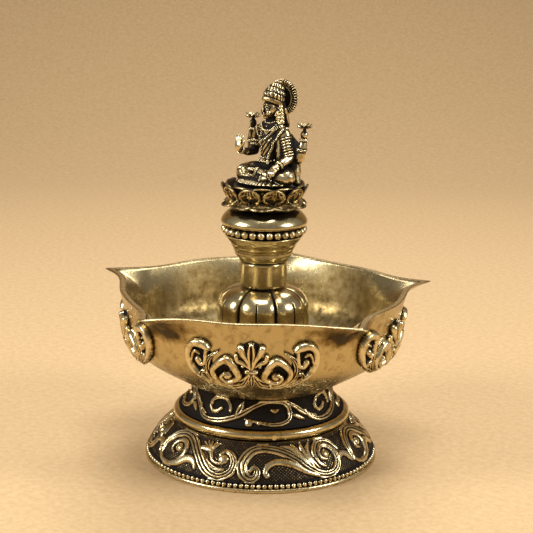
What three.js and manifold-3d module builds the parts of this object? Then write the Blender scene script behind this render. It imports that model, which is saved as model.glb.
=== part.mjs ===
// A five-spouted brass oil lamp: a hollow foot, a pinched bowl with soldered cartouches, and a
// screwed-in column whose capital carries a four-armed goddess seated on a lotus.
// Millimetres, +Z up, origin on the lamp's axis at table level. The goddess and one spout face -Y.

import * as THREE from 'three';
import { mergeVertices } from 'three/addons/utils/BufferGeometryUtils.js';
import Module from 'manifold-3d';

const wasm = await Module();
wasm.setup();

// Clearances between pieces that seat on each other, and round the stud
const SEAT_GAP = 0.3;
const STUD_CLEARANCE = 0.35;

// Foot: a swelling skirt on a thin flange, hollow from below
const FOOT_RADIUS = 39.2;
const FLANGE_HEIGHT = 1.3;
const BEAD_MOULDING_RADIUS = 0.95;
const SKIRT_BASE_INSET = 1.1;
const SKIRT_TOP_RADIUS = 29.4;
const SKIRT_HEIGHT = 13.7;
const SKIRT_SWELL = 1.3;
const SKIRT_WALL = 2.2;

// Scrolls on the skirt: bands that stand on a sunk ground, in repeats round it
const SCROLL_RELIEF = 0.9;
const SCROLL_ROOT = 0.5;
const SCROLL_HALF_WIDTH = 1.45;
const SCROLL_END = 0.1;
const SCROLL_FULLNESS = 0.6;
const SCROLL_REPEATS = 3;
const SCROLL_MEAN_RADIUS = 34.4;
const SCROLL_FIELD = 13.9596;
const SCROLL_STEPS = 15;

// Ring round the waist of the foot, and the pin that fixes it
const RING_RADIUS = 29.8;
const RING_HEIGHT = 3.3;
const RING_DEPTH = 4.4;
const RING_PIN_RADIUS = 0.85;
const RING_PIN_AZIMUTH = -41.7;

// Pedestal that carries the bowl
const PEDESTAL_SHOULDER_RADIUS = 28.2;
const PEDESTAL_NECK_RADIUS = 23.4;
const PEDESTAL_TOP = 26.0;
const PEDESTAL_WALL = 2.2;

// Tapped post under the pedestal's top, and the stud that screws into it
const POST_RADIUS = 6.5;
const STUD_RADIUS = 3.0;
const STUD_PITCH = 1.5;
const STUD_TURNS = 10;
const STUD_GRIP = 2.6;

// Bowl: a turned wall whose rim is pinched out into spouts
const RIM_RADIUS = 47.3;
const RIM_HEIGHT = 58.1;
const BOWL_WALL = 1.8;
const BOWL_SHOULDER_RADIUS = 45.2;
const BOWL_SHOULDER_HEIGHT = 45.5;
const BOWL_SEAT_RADIUS = 24.0;
const BOWL_CONE_ANGLE = 30.5;
const BOWL_CONE_PULL = 0.7;
const BOWL_WALL_PULL = 0.31;
const FACET_CROWDING = 0.6;
const SPOUT_COUNT = 5;
const SPOUT_REACH = 12.2;
const SPOUT_DEPTH = 9.0;
const SPOUT_SPREAD = 7.0;
const SPOUT_TIP_ROUND = 0.9;
const SPOUT_LIP = 2.4;

// Cartouches: scrolled ornaments soldered on the wall between the spouts
const CARTOUCHE_RELIEF = 2.5;
const CARTOUCHE_PLATE = 1.3;
const VOLUTE_RADIUS = 5.1;
const VOLUTE_OFFSET = 8.6;
const VOLUTE_LEVEL = 40.4;
const VOLUTE_BAND = 1.3;
const WING_RADIUS = 4.6;
const WING_OFFSET = 16.4;
const WING_LEVEL = 46.3;
const PALMETTE_LEVEL = 44.6;
const PALMETTE_HEIGHT = 7.6;
const DROP_LENGTH = 6.0;
const TIE_LEVEL = 42.4;
const TIE_WIDTH = 6.4;
const TIE_HEIGHT = 1.4;

// Column: seal, petalled bell, neck, capital, bead ring and cushion
const SEAL_THICKNESS = 1.2;
const SEAL_WIDTH = 3.4;
const BELL_FOOT_RADIUS = 16.8;
const BELL_RADIUS = 15.4;
const BELL_SHOULDER_HEIGHT = 52.0;
const BELL_TOP = 58.6;
const BELL_WALL = 3.0;
const BELL_PETALS = 7;
const BELL_GROOVE_DEPTH = 2.0;
const BELL_SLIT_WIDTH = 0.5;
const BELL_SLIT_DEPTH = 0.9;
const BELL_SLIT_TOP = 55.4;
const BELL_PETAL_AZIMUTH = -58;
const NECK_RADIUS = 7.9;
const NECK_LENGTH = 8.3;
const CAPITAL_HEIGHT = 9.0;
const CAPITAL_RADIUS = 13.0;
const BEAD_COUNT = 30;
const BEAD_RADIUS = 1.22;
const BEAD_CIRCLE_RADIUS = 13.1;
const CUSHION_RADIUS = 14.4;
const CUSHION_HEIGHT = 5.2;
const CUSHION_TOP_RADIUS = 10.8;
const FIGURE_SCREW_RADIUS = 1.4;
const FIGURE_SCREW_GRIP = 1.6;

// Lotus throne
const LOTUS_PETALS = 10;
const LOTUS_HEIGHT = 7.6;
const LOTUS_WAIST_RADIUS = 10.2;
const LOTUS_SEAT_RADIUS = 11.4;
const PETAL_WIDTH = 8.4;
const PETAL_LENGTH = 6.2;
const PETAL_THICKNESS = 1.3;
const PETAL_CUP = 0.9;
const LOWER_PETAL_INSET = 2.2;
const LOWER_PETAL_RISE = 5.1;
const UPPER_PETAL_INSET = 1.6;
const UPPER_PETAL_RISE = 3.9;
const LOWER_PETAL_TILT = -38;
const UPPER_PETAL_TILT = 44;

// Goddess, from the lotus to the top of her crown
const FIGURE_HEIGHT = 33.4;
const HALO_RIDGES = 20;

// Facets round turned pieces
const FINE = 36;
const MEDIUM = 24;
const COARSE = 10;

// Heights worked out from the stack
const ringBase = SKIRT_HEIGHT + SEAT_GAP;
const ringTop = ringBase + RING_HEIGHT;
const bowlBase = PEDESTAL_TOP + SEAT_GAP;
const bowlFloor = bowlBase + BOWL_WALL;
const sealBase = bowlFloor + SEAT_GAP;
const bellBase = sealBase + SEAL_THICKNESS + SEAT_GAP;
const neckBase = BELL_TOP + SEAT_GAP;
const capitalBase = neckBase + NECK_LENGTH + SEAT_GAP;
const capitalTop = capitalBase + CAPITAL_HEIGHT;
const beadBase = capitalTop + SEAT_GAP;
const cushionBase = beadBase + 2 * BEAD_RADIUS + SEAT_GAP;
const cushionTop = cushionBase + CUSHION_HEIGHT;
const lotusBase = cushionTop + SEAT_GAP;
const lotusTop = lotusBase + LOTUS_HEIGHT;
const seat = lotusTop + SEAT_GAP;
const postTop = PEDESTAL_TOP - PEDESTAL_WALL - SEAT_GAP;
const studBottom = postTop - STUD_TURNS * STUD_PITCH;
const studBore = STUD_RADIUS + STUD_CLEARANCE;
const screwBore = FIGURE_SCREW_RADIUS + SEAT_GAP;

const radians = THREE.MathUtils.degToRad;
const point = (x, y) => new THREE.Vector2(x, y);

// Points on an ellipse arc, with the angles in degrees from the first axis.
function arc(x, y, radiusX, radiusY, from, to, steps) {
  return Array.from({ length: steps + 1 }, (_, i) => {
    const angle = radians(from + ((to - from) * i) / steps);
    return point(x + radiusX * Math.cos(angle), y + radiusY * Math.sin(angle));
  });
}

// Welds a geometry's corners and drops the faces that have closed to a line.
function weld(geometry) {
  geometry.deleteAttribute('normal');
  geometry.deleteAttribute('uv');
  const welded = mergeVertices(geometry, 1e-4);
  const index = welded.index.array;
  const faces = [];
  for (let i = 0; i < index.length; i += 3) {
    const [a, b, c] = index.slice(i, i + 3);
    if (a !== b && b !== c && c !== a) faces.push(a, b, c);
  }
  welded.setIndex(faces);
  return welded;
}

// Turns a closed outline of (radius, height) points about the Z axis.
function turned(outline, facets) {
  const points = THREE.ShapeUtils.area(outline) < 0 ? outline.slice().reverse() : outline.slice();
  points.push(points[0].clone());
  const geometry = new THREE.LatheGeometry(points, facets);
  return weld(geometry.rotateX(Math.PI / 2));
}

// A round bar between two heights, for studs and for the bores cut with them.
function bar(radius, bottom, top, facets = MEDIUM) {
  return turned([point(0, bottom), point(radius, bottom), point(radius, top), point(0, top)], facets);
}

function solid(geometry) {
  return new wasm.Manifold(new wasm.Mesh({
    numProp: 3,
    vertProperties: new Float32Array(geometry.attributes.position.array),
    triVerts: new Uint32Array(geometry.index.array),
  }));
}

function geometryOf(manifold) {
  const mesh = manifold.getMesh();
  const geometry = new THREE.BufferGeometry();
  geometry.setAttribute('position', new THREE.BufferAttribute(mesh.vertProperties, 3));
  geometry.setIndex(new THREE.BufferAttribute(mesh.triVerts, 1));
  return geometry;
}

const joined = (geometries) => geometries.map(solid).reduce((whole, piece) => whole.add(piece));

// Turns a geometry that points along +Z so that it points from one place to another.
function aimed(geometry, from, to) {
  const start = new THREE.Vector3(...from);
  const way = new THREE.Vector3(...to).sub(start).normalize();
  geometry.applyQuaternion(new THREE.Quaternion().setFromUnitVectors(new THREE.Vector3(0, 0, 1), way));
  return geometry.translate(...from);
}

// A tapered limb with round ends.
function limb(from, to, startRadius, endRadius, facets = 6) {
  const length = new THREE.Vector3(...from).distanceTo(new THREE.Vector3(...to));
  const outline = [
    ...arc(0, 0, startRadius, startRadius, -90, 0, 2),
    ...arc(0, length, endRadius, endRadius, 0, 90, 2),
  ];
  outline[0].x = 0;
  outline.at(-1).x = 0;
  return aimed(turned(outline, facets), from, to);
}

// A ball stretched to three half-widths, tipped about X.
function ball(centre, halves, tip = 0, facets = 8) {
  const geometry = new THREE.SphereGeometry(1, facets, Math.round(facets * 0.55));
  geometry.scale(...halves).rotateX(radians(tip));
  return weld(geometry.translate(...centre));
}

// A petal lying along +Y from its root at the origin: a flattened ball, narrowed to a tip,
// whose edges rise by `cup` times the square of their distance from the middle.
function petal(width, length, thickness, cup, facets = 6) {
  const geometry = new THREE.SphereGeometry(1, facets, 4).rotateX(Math.PI / 2);
  const place = geometry.attributes.position;
  for (let i = 0; i < place.count; i += 1) {
    const [x, y, z] = [place.getX(i), place.getY(i), place.getZ(i)];
    const narrowing = 1 - 0.35 * Math.max(0, y) ** 2;
    const lift = cup * (x * x + y * y);
    place.setXYZ(i, (x * narrowing * width) / 2, ((y + 1) * length) / 2, (z * thickness) / 2 + lift);
  }
  return weld(geometry);
}

// The skirt's face, swelling between the bead moulding and the waist.
function skirtCurve() {
  const start = point(FOOT_RADIUS - SKIRT_BASE_INSET, FLANGE_HEIGHT + 2 * BEAD_MOULDING_RADIUS);
  const end = point(SKIRT_TOP_RADIUS, SKIRT_HEIGHT);
  const normal = point(end.y - start.y, start.x - end.x).normalize();
  const middle = start.clone().lerp(end, 0.5).addScaledVector(normal, 2 * SKIRT_SWELL);
  return new THREE.QuadraticBezierCurve(start, middle, end);
}

// Points up the skirt's face, moved in by `inset`.
function skirtFace(inset, steps) {
  const curve = skirtCurve();
  const way = curve.getPoint(1).sub(curve.getPoint(0));
  const normal = point(way.y, -way.x).normalize();
  return curve.getPoints(steps).map((p) => p.addScaledVector(normal, -inset));
}

// A place on the skirt: across it, up the field that its slope carries, and a distance out from its
// sunk ground. The field is drawn SCROLL_FIELD high, and fills whatever slope the sizes give.
function onSkirt(across, along, distance) {
  const curve = skirtCurve();
  const share = along / SCROLL_FIELD;
  const foot = curve.getPointAt(share);
  const way = curve.getTangentAt(share);
  const lift = distance - SCROLL_RELIEF;
  const radius = foot.x + way.y * lift;
  const angle = across / SCROLL_MEAN_RADIUS;
  return [radius * Math.cos(angle), radius * Math.sin(angle), foot.y - way.x * lift];
}

// A scroll on the skirt through places in degrees round and millimetres up its slope. Its outline
// runs at the half width on either side of a smooth curve, and narrows to both ends.
function scroll(places) {
  const curve = new THREE.SplineCurve(places.map(([turn, up]) => point(radians(turn) * SCROLL_MEAN_RADIUS, up)));
  const left = [];
  const right = [];
  for (let i = 0; i <= SCROLL_STEPS; i += 1) {
    const share = i / SCROLL_STEPS;
    const middle = curve.getPoint(share);
    const way = curve.getTangent(share);
    const swell = Math.sin(Math.PI * (SCROLL_END + (1 - 2 * SCROLL_END) * share));
    const half = SCROLL_HALF_WIDTH * swell ** SCROLL_FULLNESS;
    left.push(point(middle.x - way.y * half, middle.y + way.x * half));
    right.push(point(middle.x + way.y * half, middle.y - way.x * half));
  }
  const shape = new THREE.Shape([...left, ...right.reverse()]);
  const options = { depth: SCROLL_RELIEF + SCROLL_ROOT, bevelEnabled: false };
  return wrapped(new THREE.ExtrudeGeometry(shape, options).translate(0, 0, -SCROLL_ROOT), onSkirt);
}

function footSkirt() {
  const mouth = RING_RADIUS - RING_DEPTH - SKIRT_WALL;
  const moulding = arc(
    FOOT_RADIUS - BEAD_MOULDING_RADIUS,
    FLANGE_HEIGHT + BEAD_MOULDING_RADIUS,
    BEAD_MOULDING_RADIUS,
    BEAD_MOULDING_RADIUS,
    -75,
    90,
    3,
  );
  const inside = skirtFace(SKIRT_WALL, 2).reverse();
  const body = turned([
    point(FOOT_RADIUS, 0),
    point(FOOT_RADIUS, FLANGE_HEIGHT),
    ...moulding,
    ...skirtFace(SCROLL_RELIEF, 4),
    point(mouth, SKIRT_HEIGHT),
    point(mouth, SKIRT_HEIGHT - SKIRT_WALL),
    ...inside.slice(1),
    point(FOOT_RADIUS - SKIRT_BASE_INSET - SKIRT_WALL, 0),
  ], FINE);
  const rising = [[-112, 3.4], [-112.5, 8.5], [-104, 12.2], [-92, 10.8], [-80, 4.4], [-70, 2.2], [-65, 6]];
  const curling = [[-58, 4.2], [-58, 9], [-48, 12], [-34, 9.6], [-22, 3.6], [-11, 2.2], [-6, 7], [-12, 11]];
  const scrolls = [];
  for (let i = 0; i < SCROLL_REPEATS; i += 1) {
    const turn = (2 * Math.PI * i) / SCROLL_REPEATS;
    scrolls.push(scroll(rising).rotateZ(turn), scroll(curling).rotateZ(turn));
  }
  return geometryOf(joined([body, ...scrolls]));
}

// The pin's axis, level with the ring's middle and square to its surface.
function radialBar(radius, from, to) {
  const geometry = bar(radius, from, to, COARSE).rotateY(Math.PI / 2);
  geometry.translate(0, 0, ringBase + RING_HEIGHT / 2);
  return geometry.rotateZ(radians(RING_PIN_AZIMUTH));
}

function footRing() {
  const round = RING_HEIGHT / 2;
  const ring = turned([
    point(RING_RADIUS - RING_DEPTH, ringBase),
    ...arc(RING_RADIUS - round, ringBase + round, round, round, -90, 90, 5),
    point(RING_RADIUS - RING_DEPTH, ringTop),
  ], FINE);
  const hole = radialBar(RING_PIN_RADIUS + SEAT_GAP, RING_RADIUS - RING_DEPTH - 1, RING_RADIUS + 1);
  return geometryOf(solid(ring).subtract(solid(hole)));
}

function ringPin() {
  const head = RING_RADIUS + RING_PIN_RADIUS / 2;
  return radialBar(RING_PIN_RADIUS, RING_RADIUS - RING_DEPTH + SEAT_GAP, head);
}

// The pedestal's flank from its shoulder over the ring up to the neck under the bowl.
function pedestalFlank(inset) {
  const shoulder = point(PEDESTAL_SHOULDER_RADIUS - inset, ringTop + SEAT_GAP);
  const neck = point(PEDESTAL_NECK_RADIUS - inset, PEDESTAL_TOP);
  const rise = (neck.y - shoulder.y) / 3;
  const curve = new THREE.CubicBezierCurve(
    shoulder,
    point(shoulder.x - 0.3 * rise, shoulder.y + rise),
    point(neck.x, neck.y - 2 * rise),
    neck,
  );
  return curve.getPoints(inset > 0 ? 2 : 5);
}

function pedestal() {
  const collar = RING_RADIUS - RING_DEPTH - SEAT_GAP;
  const inside = pedestalFlank(PEDESTAL_WALL).reverse();
  inside[0].y -= PEDESTAL_WALL;
  const crown = inside.filter((p) => p.y <= inside[0].y && p.x <= collar - PEDESTAL_WALL);
  return turned([
    point(collar, ringBase),
    point(collar, ringTop + SEAT_GAP),
    ...pedestalFlank(0),
    point(studBore, PEDESTAL_TOP),
    point(studBore, PEDESTAL_TOP - PEDESTAL_WALL),
    ...crown,
    point(collar - PEDESTAL_WALL, ringTop),
    point(collar - PEDESTAL_WALL, ringBase),
  ], FINE);
}

function tappedPost() {
  const boreBottom = studBottom - 1;
  return turned([
    point(0, 0),
    point(POST_RADIUS, 0),
    point(POST_RADIUS, postTop),
    point(studBore, postTop),
    point(studBore, boreBottom),
    point(0, boreBottom),
  ], MEDIUM);
}

// The bowl's outer face from its seat to the rim: a cone, a round shoulder, and a near-straight wall.
function bowlFace() {
  const start = point(BOWL_SEAT_RADIUS, bowlBase);
  const end = point(BOWL_SHOULDER_RADIUS, BOWL_SHOULDER_HEIGHT);
  const cone = point(Math.cos(radians(BOWL_CONE_ANGLE)), Math.sin(radians(BOWL_CONE_ANGLE)));
  const wall = point(RIM_RADIUS, RIM_HEIGHT).sub(end).normalize();
  const span = start.distanceTo(end);
  const curve = new THREE.CubicBezierCurve(
    start,
    start.clone().addScaledVector(cone, BOWL_CONE_PULL * span),
    end.clone().addScaledVector(wall, -BOWL_WALL_PULL * span),
    end,
  );
  const rim = point(RIM_RADIUS, RIM_HEIGHT);
  const upper = [0.4, 0.75, 1].map((t) => end.clone().lerp(rim, t));
  return [...curve.getPoints(5), ...upper];
}

// A face moved along its own outward normal.
function offset(face, distance) {
  return face.map((p, i) => {
    const before = face[Math.max(i - 1, 0)];
    const after = face[Math.min(i + 1, face.length - 1)];
    const normal = point(after.y - before.y, before.x - after.x).normalize();
    return p.clone().addScaledVector(normal, distance);
  });
}

// How far the rim is pinched out at an angle from the nearest spout: a peak that dies away
// exponentially, with a rounded tip.
function pinch(angle) {
  const rounded = Math.hypot(angle, SPOUT_TIP_ROUND) - SPOUT_TIP_ROUND;
  return Math.exp(-rounded / SPOUT_SPREAD);
}

function bowl() {
  const outside = bowlFace();
  const inside = offset(outside, -BOWL_WALL).reverse();
  inside[0].y = RIM_HEIGHT;
  inside.at(-1).y = bowlFloor;
  const geometry = turned([
    point(studBore, bowlBase),
    ...outside,
    ...inside,
    point(studBore, bowlFloor),
  ], SPOUT_COUNT * 12);
  const place = geometry.attributes.position;
  const step = 360 / SPOUT_COUNT;
  for (let i = 0; i < place.count; i += 1) {
    const [x, y, z] = [place.getX(i), place.getY(i), place.getZ(i)];
    const radius = Math.hypot(x, y);
    const facet = THREE.MathUtils.radToDeg(Math.atan2(y, x));
    const spout = Math.round(facet / step) * step;
    const wave = Math.sin(radians((facet - spout) * SPOUT_COUNT));
    const away = facet - spout - (FACET_CROWDING * THREE.MathUtils.radToDeg(wave)) / SPOUT_COUNT;
    const rise = Math.max(0, (z - RIM_HEIGHT + SPOUT_DEPTH) / SPOUT_DEPTH) ** 2.2;
    const isInside = radius < wallRadius(z) - BOWL_WALL / 2;
    const reach = (isInside ? SPOUT_REACH - SPOUT_LIP : SPOUT_REACH) * pinch(Math.abs(away)) * rise;
    const angle = radians(spout + away - 90);
    place.setXYZ(i, (radius + reach) * Math.cos(angle), (radius + reach) * Math.sin(angle), z);
  }
  return geometry;
}

// The bowl's outer radius at a height.
function wallRadius(z) {
  const face = bowlFace();
  const above = face.findIndex((p) => p.y >= z);
  if (above < 1) return face.at(above).x;
  const [low, high] = [face[above - 1], face[above]];
  return THREE.MathUtils.mapLinear(z, low.y, high.y, low.x, high.x);
}

// A place over the bowl's wall: across it, at a height, and out along its normal from the seat gap.
function onWall(across, level, out) {
  const face = bowlFace();
  const distance = out + SEAT_GAP;
  const above = Math.max(1, face.findIndex((p) => p.y >= level));
  const [low, high] = [face[above - 1], face[above]];
  const normal = point(high.y - low.y, low.x - high.x).normalize();
  const foot = low.clone().lerp(high, (level - low.y) / (high.y - low.y));
  const radius = foot.x + normal.x * distance;
  const angle = across / RIM_RADIUS;
  return [radius * Math.cos(angle), radius * Math.sin(angle), foot.y + normal.y * distance];
}

// Lays a geometry drawn on the X-Y plane, as seen from outside, round a curved face towards +X.
// The face is a function that turns (across, up, out) into a place.
function wrapped(geometry, onFace) {
  const place = geometry.attributes.position;
  for (let i = 0; i < place.count; i += 1) {
    place.setXYZ(i, ...onFace(place.getX(i), place.getY(i), place.getZ(i)));
  }
  return weld(geometry);
}

// A ridge of the ornament: an outline raised to a share of the full relief.
function ridge(shape, share) {
  const root = (CARTOUCHE_PLATE * share) / 2;
  const options = { depth: CARTOUCHE_RELIEF * share - root, bevelEnabled: false, curveSegments: 2 };
  return wrapped(new THREE.ExtrudeGeometry(shape, options).translate(0, 0, root), onWall);
}

// A band that spirals in from an outer radius, as a closed outline.
function spiral(x, y, radius, from, turns, mirrored) {
  const steps = Math.round(turns * 7);
  const outer = [];
  const inner = [];
  for (let i = 0; i <= steps; i += 1) {
    const t = i / steps;
    const angle = radians(from - 360 * turns * t);
    const out = radius * (1 - 0.68 * t);
    const width = VOLUTE_BAND * (1 - 0.35 * t);
    const side = mirrored ? -1 : 1;
    outer.push(point(side * (x + out * Math.cos(angle)), y + out * Math.sin(angle)));
    inner.push(point(side * (x + (out - width) * Math.cos(angle)), y + (out - width) * Math.sin(angle)));
  }
  return new THREE.Shape([...outer, ...inner.reverse()]);
}

// The cartouche's plate: two volutes at the foot, two wings above them and a palmette between.
function cartouchePlate() {
  const half = [
    point(0, VOLUTE_LEVEL - VOLUTE_RADIUS - 1),
    ...arc(VOLUTE_OFFSET, VOLUTE_LEVEL, VOLUTE_RADIUS + 0.8, VOLUTE_RADIUS + 0.8, -95, -40, 2),
    ...arc(WING_OFFSET, WING_LEVEL, WING_RADIUS + 0.5, WING_RADIUS + 0.5, -45, 150, 6),
    ...arc(VOLUTE_OFFSET, VOLUTE_LEVEL, VOLUTE_RADIUS, VOLUTE_RADIUS + 0.6, 80, 110, 1),
    ...arc(0, PALMETTE_LEVEL + PALMETTE_HEIGHT / 2, 4.8, PALMETTE_HEIGHT / 2, -20, 80, 3),
  ];
  const other = half.slice(1).reverse().map((p) => point(-p.x, p.y));
  return new THREE.Shape([...half, ...other]);
}

function leafOutline(x, y, width, length, lean) {
  const shape = new THREE.Shape();
  const tip = point(length * Math.sin(radians(lean)), length * Math.cos(radians(lean)));
  const side = point(tip.y, -tip.x).multiplyScalar(width / length);
  shape.moveTo(x, y);
  shape.quadraticCurveTo(x + tip.x / 2 + side.x, y + tip.y / 2 + side.y, x + tip.x, y + tip.y);
  shape.quadraticCurveTo(x + tip.x / 2 - side.x, y + tip.y / 2 - side.y, x, y);
  return shape;
}

// A blank plate on the wall, with its rows of corners on the wall's own bends so that it lies close.
function cartoucheBlank() {
  const reach = WING_OFFSET + WING_RADIUS + 2;
  const bottom = VOLUTE_LEVEL - VOLUTE_RADIUS - 2;
  const top = PALMETTE_LEVEL + PALMETTE_HEIGHT + 2;
  const bends = bowlFace().map((p) => p.y).filter((level) => level > bottom && level < top);
  const levels = [bottom, ...bends, top];
  const rows = levels.length - 1;
  const blank = new THREE.BoxGeometry(2 * reach, rows, CARTOUCHE_PLATE, 8, rows, 1);
  blank.translate(0, rows / 2, CARTOUCHE_PLATE / 2);
  const place = blank.attributes.position;
  for (let i = 0; i < place.count; i += 1) place.setY(i, levels[Math.round(place.getY(i))]);
  return wrapped(blank, onWall);
}

// The bar that ties the two volutes together.
function tieOutline() {
  const corner = point(TIE_WIDTH / 2, TIE_HEIGHT / 2);
  const corners = [point(-corner.x, -corner.y), point(corner.x, -corner.y), corner, point(-corner.x, corner.y)];
  return new THREE.Shape(corners.map((p) => point(p.x, p.y + TIE_LEVEL)));
}

function cartouche() {
  const options = { depth: RIM_RADIUS, bevelEnabled: false };
  const stencil = new THREE.ExtrudeGeometry(cartouchePlate(), options);
  stencil.translate(0, 0, RIM_RADIUS / 2).rotateX(Math.PI / 2).rotateZ(Math.PI / 2);
  const plate = solid(cartoucheBlank()).intersect(solid(weld(stencil)));
  const ridges = [
    ridge(leafOutline(0, PALMETTE_LEVEL, 2.6, PALMETTE_HEIGHT, 0), 1),
    ridge(leafOutline(0.9, PALMETTE_LEVEL + 0.4, 2.4, PALMETTE_HEIGHT * 0.8, 42), 0.85),
    ridge(leafOutline(-0.9, PALMETTE_LEVEL + 0.4, 2.4, PALMETTE_HEIGHT * 0.8, -42), 0.85),
    ridge(leafOutline(0, TIE_LEVEL - TIE_HEIGHT, 2.6, -DROP_LENGTH, 0), 0.92),
    ridge(tieOutline(), 0.78),
  ];
  for (const mirrored of [false, true]) {
    ridges.push(ridge(spiral(VOLUTE_OFFSET, VOLUTE_LEVEL, VOLUTE_RADIUS, 200, 1.25, mirrored), 0.96));
    ridges.push(ridge(spiral(WING_OFFSET, WING_LEVEL, WING_RADIUS, 300, 0.8, mirrored), 0.89));
  }
  return plate.add(joined(ridges));
}

function columnSeal() {
  return turned([
    point(BELL_FOOT_RADIUS - SEAL_WIDTH, sealBase),
    point(BELL_FOOT_RADIUS, sealBase),
    point(BELL_FOOT_RADIUS, sealBase + SEAL_THICKNESS),
    point(BELL_FOOT_RADIUS - SEAL_WIDTH, sealBase + SEAL_THICKNESS),
  ], FINE);
}

function petalBell() {
  const shoulderRise = BELL_TOP - BELL_SHOULDER_HEIGHT;
  const flare = (BELL_FOOT_RADIUS - BELL_RADIUS) / 3;
  const outside = [
    point(BELL_FOOT_RADIUS, bellBase),
    point(BELL_RADIUS + flare, THREE.MathUtils.lerp(bellBase, BELL_SHOULDER_HEIGHT, 0.35)),
    point(BELL_RADIUS, THREE.MathUtils.lerp(bellBase, BELL_SHOULDER_HEIGHT, 0.75)),
    ...arc(
      NECK_RADIUS,
      BELL_SHOULDER_HEIGHT,
      BELL_RADIUS - NECK_RADIUS,
      shoulderRise,
      0,
      84,
      4,
    ),
  ];
  const inside = [
    point(studBore, BELL_TOP - BELL_WALL),
    point(NECK_RADIUS - 1, BELL_TOP - BELL_WALL),
    point(BELL_RADIUS - BELL_WALL, BELL_SHOULDER_HEIGHT),
    point(BELL_FOOT_RADIUS - BELL_WALL, bellBase),
  ];
  const top = outside.at(-1).y;
  const geometry = turned([...outside, point(studBore, top), ...inside], BELL_PETALS * 6);
  const place = geometry.attributes.position;
  for (let i = 0; i < place.count; i += 1) {
    const [x, y, z] = [place.getX(i), place.getY(i), place.getZ(i)];
    const radius = Math.hypot(x, y);
    const angle = Math.atan2(y, x);
    const fromGroove = Math.abs(Math.sin((angle * BELL_PETALS) / 2));
    const isOutside = radius > NECK_RADIUS && radius > BELL_RADIUS - BELL_WALL / 2 - (z - bellBase) / 4;
    const depth = isOutside && z > bellBase + 1 ? BELL_GROOVE_DEPTH * (1 - fromGroove) ** 3 : 0;
    place.setXYZ(i, x * (1 - depth / radius), y * (1 - depth / radius), z);
  }
  geometry.rotateZ(radians(BELL_PETAL_AZIMUTH + 180 / BELL_PETALS));
  return geometryOf(bellSlits().reduce((bell, slit) => bell.subtract(slit), solid(geometry)));
}

// The cuts up the middle of the petals, from the bell's foot to its shoulder.
function bellSlits() {
  const height = BELL_SLIT_TOP - bellBase + 1;
  const reach = BELL_FOOT_RADIUS - BELL_RADIUS + BELL_SLIT_DEPTH + 1;
  return Array.from({ length: BELL_PETALS }, (_, i) => {
    const cut = weld(new THREE.BoxGeometry(reach, BELL_SLIT_WIDTH, height));
    cut.translate(BELL_RADIUS - BELL_SLIT_DEPTH + reach / 2, 0, BELL_SLIT_TOP - height / 2);
    return solid(cut.rotateZ(radians(BELL_PETAL_AZIMUTH + (360 * i) / BELL_PETALS)));
  });
}

function neck() {
  return turned([
    point(studBore, neckBase),
    point(NECK_RADIUS, neckBase),
    point(NECK_RADIUS, neckBase + NECK_LENGTH),
    point(studBore, neckBase + NECK_LENGTH),
  ], MEDIUM);
}

// The capital steps out from the neck: a fillet, a cove, two bands and a flared lip.
function capital() {
  const rise = (share) => capitalBase + share * CAPITAL_HEIGHT;
  const out = (share) => THREE.MathUtils.lerp(NECK_RADIUS, CAPITAL_RADIUS, share);
  return turned([
    point(studBore, capitalBase),
    point(out(0.02), capitalBase),
    point(out(0.02), rise(0.1)),
    point(out(0.2), rise(0.17)),
    point(out(0.34), rise(0.28)),
    point(out(0.34), rise(0.36)),
    point(out(0.44), rise(0.4)),
    point(out(0.44), rise(0.5)),
    point(out(0.56), rise(0.62)),
    point(out(0.6), rise(0.7)),
    point(out(0.74), rise(0.78)),
    point(out(0.82), rise(0.9)),
    point(CAPITAL_RADIUS, capitalTop),
    point(studBore, capitalTop),
  ], MEDIUM);
}

function beadRing() {
  const band = turned([
    point(studBore, beadBase),
    point(BEAD_CIRCLE_RADIUS - BEAD_RADIUS / 3, beadBase),
    point(BEAD_CIRCLE_RADIUS - BEAD_RADIUS / 3, beadBase + 2 * BEAD_RADIUS),
    point(studBore, beadBase + 2 * BEAD_RADIUS),
  ], BEAD_COUNT);
  const beads = Array.from({ length: BEAD_COUNT }, (_, i) => {
    const bead = ball([0, 0, 0], [BEAD_RADIUS, BEAD_RADIUS, BEAD_RADIUS], 0, 6);
    bead.translate(BEAD_CIRCLE_RADIUS, 0, beadBase + BEAD_RADIUS);
    return bead.rotateZ((2 * Math.PI * i) / BEAD_COUNT);
  });
  return geometryOf(joined([band, ...beads]));
}

function cushion() {
  const swell = point(CUSHION_RADIUS - CUSHION_TOP_RADIUS, CUSHION_HEIGHT * 0.78);
  const edge = arc(CUSHION_TOP_RADIUS, cushionTop - swell.y, swell.x, swell.y, -25, 90, 5);
  edge[0].y = cushionBase;
  const studEnd = cushionBase + STUD_GRIP + SEAT_GAP;
  const screwEnd = cushionTop - FIGURE_SCREW_GRIP - SEAT_GAP;
  return turned([
    point(studBore, cushionBase),
    ...edge,
    point(screwBore, cushionTop),
    point(screwBore, screwEnd),
    point(0, screwEnd),
    point(0, studEnd),
    point(studBore, studEnd),
  ], MEDIUM);
}

function columnStud() {
  return bar(STUD_RADIUS, studBottom, cushionBase + STUD_GRIP, 16);
}

function figureScrew() {
  return bar(FIGURE_SCREW_RADIUS, cushionTop - FIGURE_SCREW_GRIP, seat + FIGURE_SCREW_GRIP, COARSE);
}

// One ring of petals, each rooted on the core and tilted by `tilt` degrees above level.
function petalRing(root, tilt, cup, first) {
  return Array.from({ length: LOTUS_PETALS }, (_, i) => {
    const leaf = petal(PETAL_WIDTH, PETAL_LENGTH, PETAL_THICKNESS, cup);
    leaf.rotateX(radians(tilt)).translate(0, root.x, root.y).rotateZ(Math.PI);
    return leaf.rotateZ(radians(first + (360 * i) / LOTUS_PETALS));
  });
}

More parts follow.
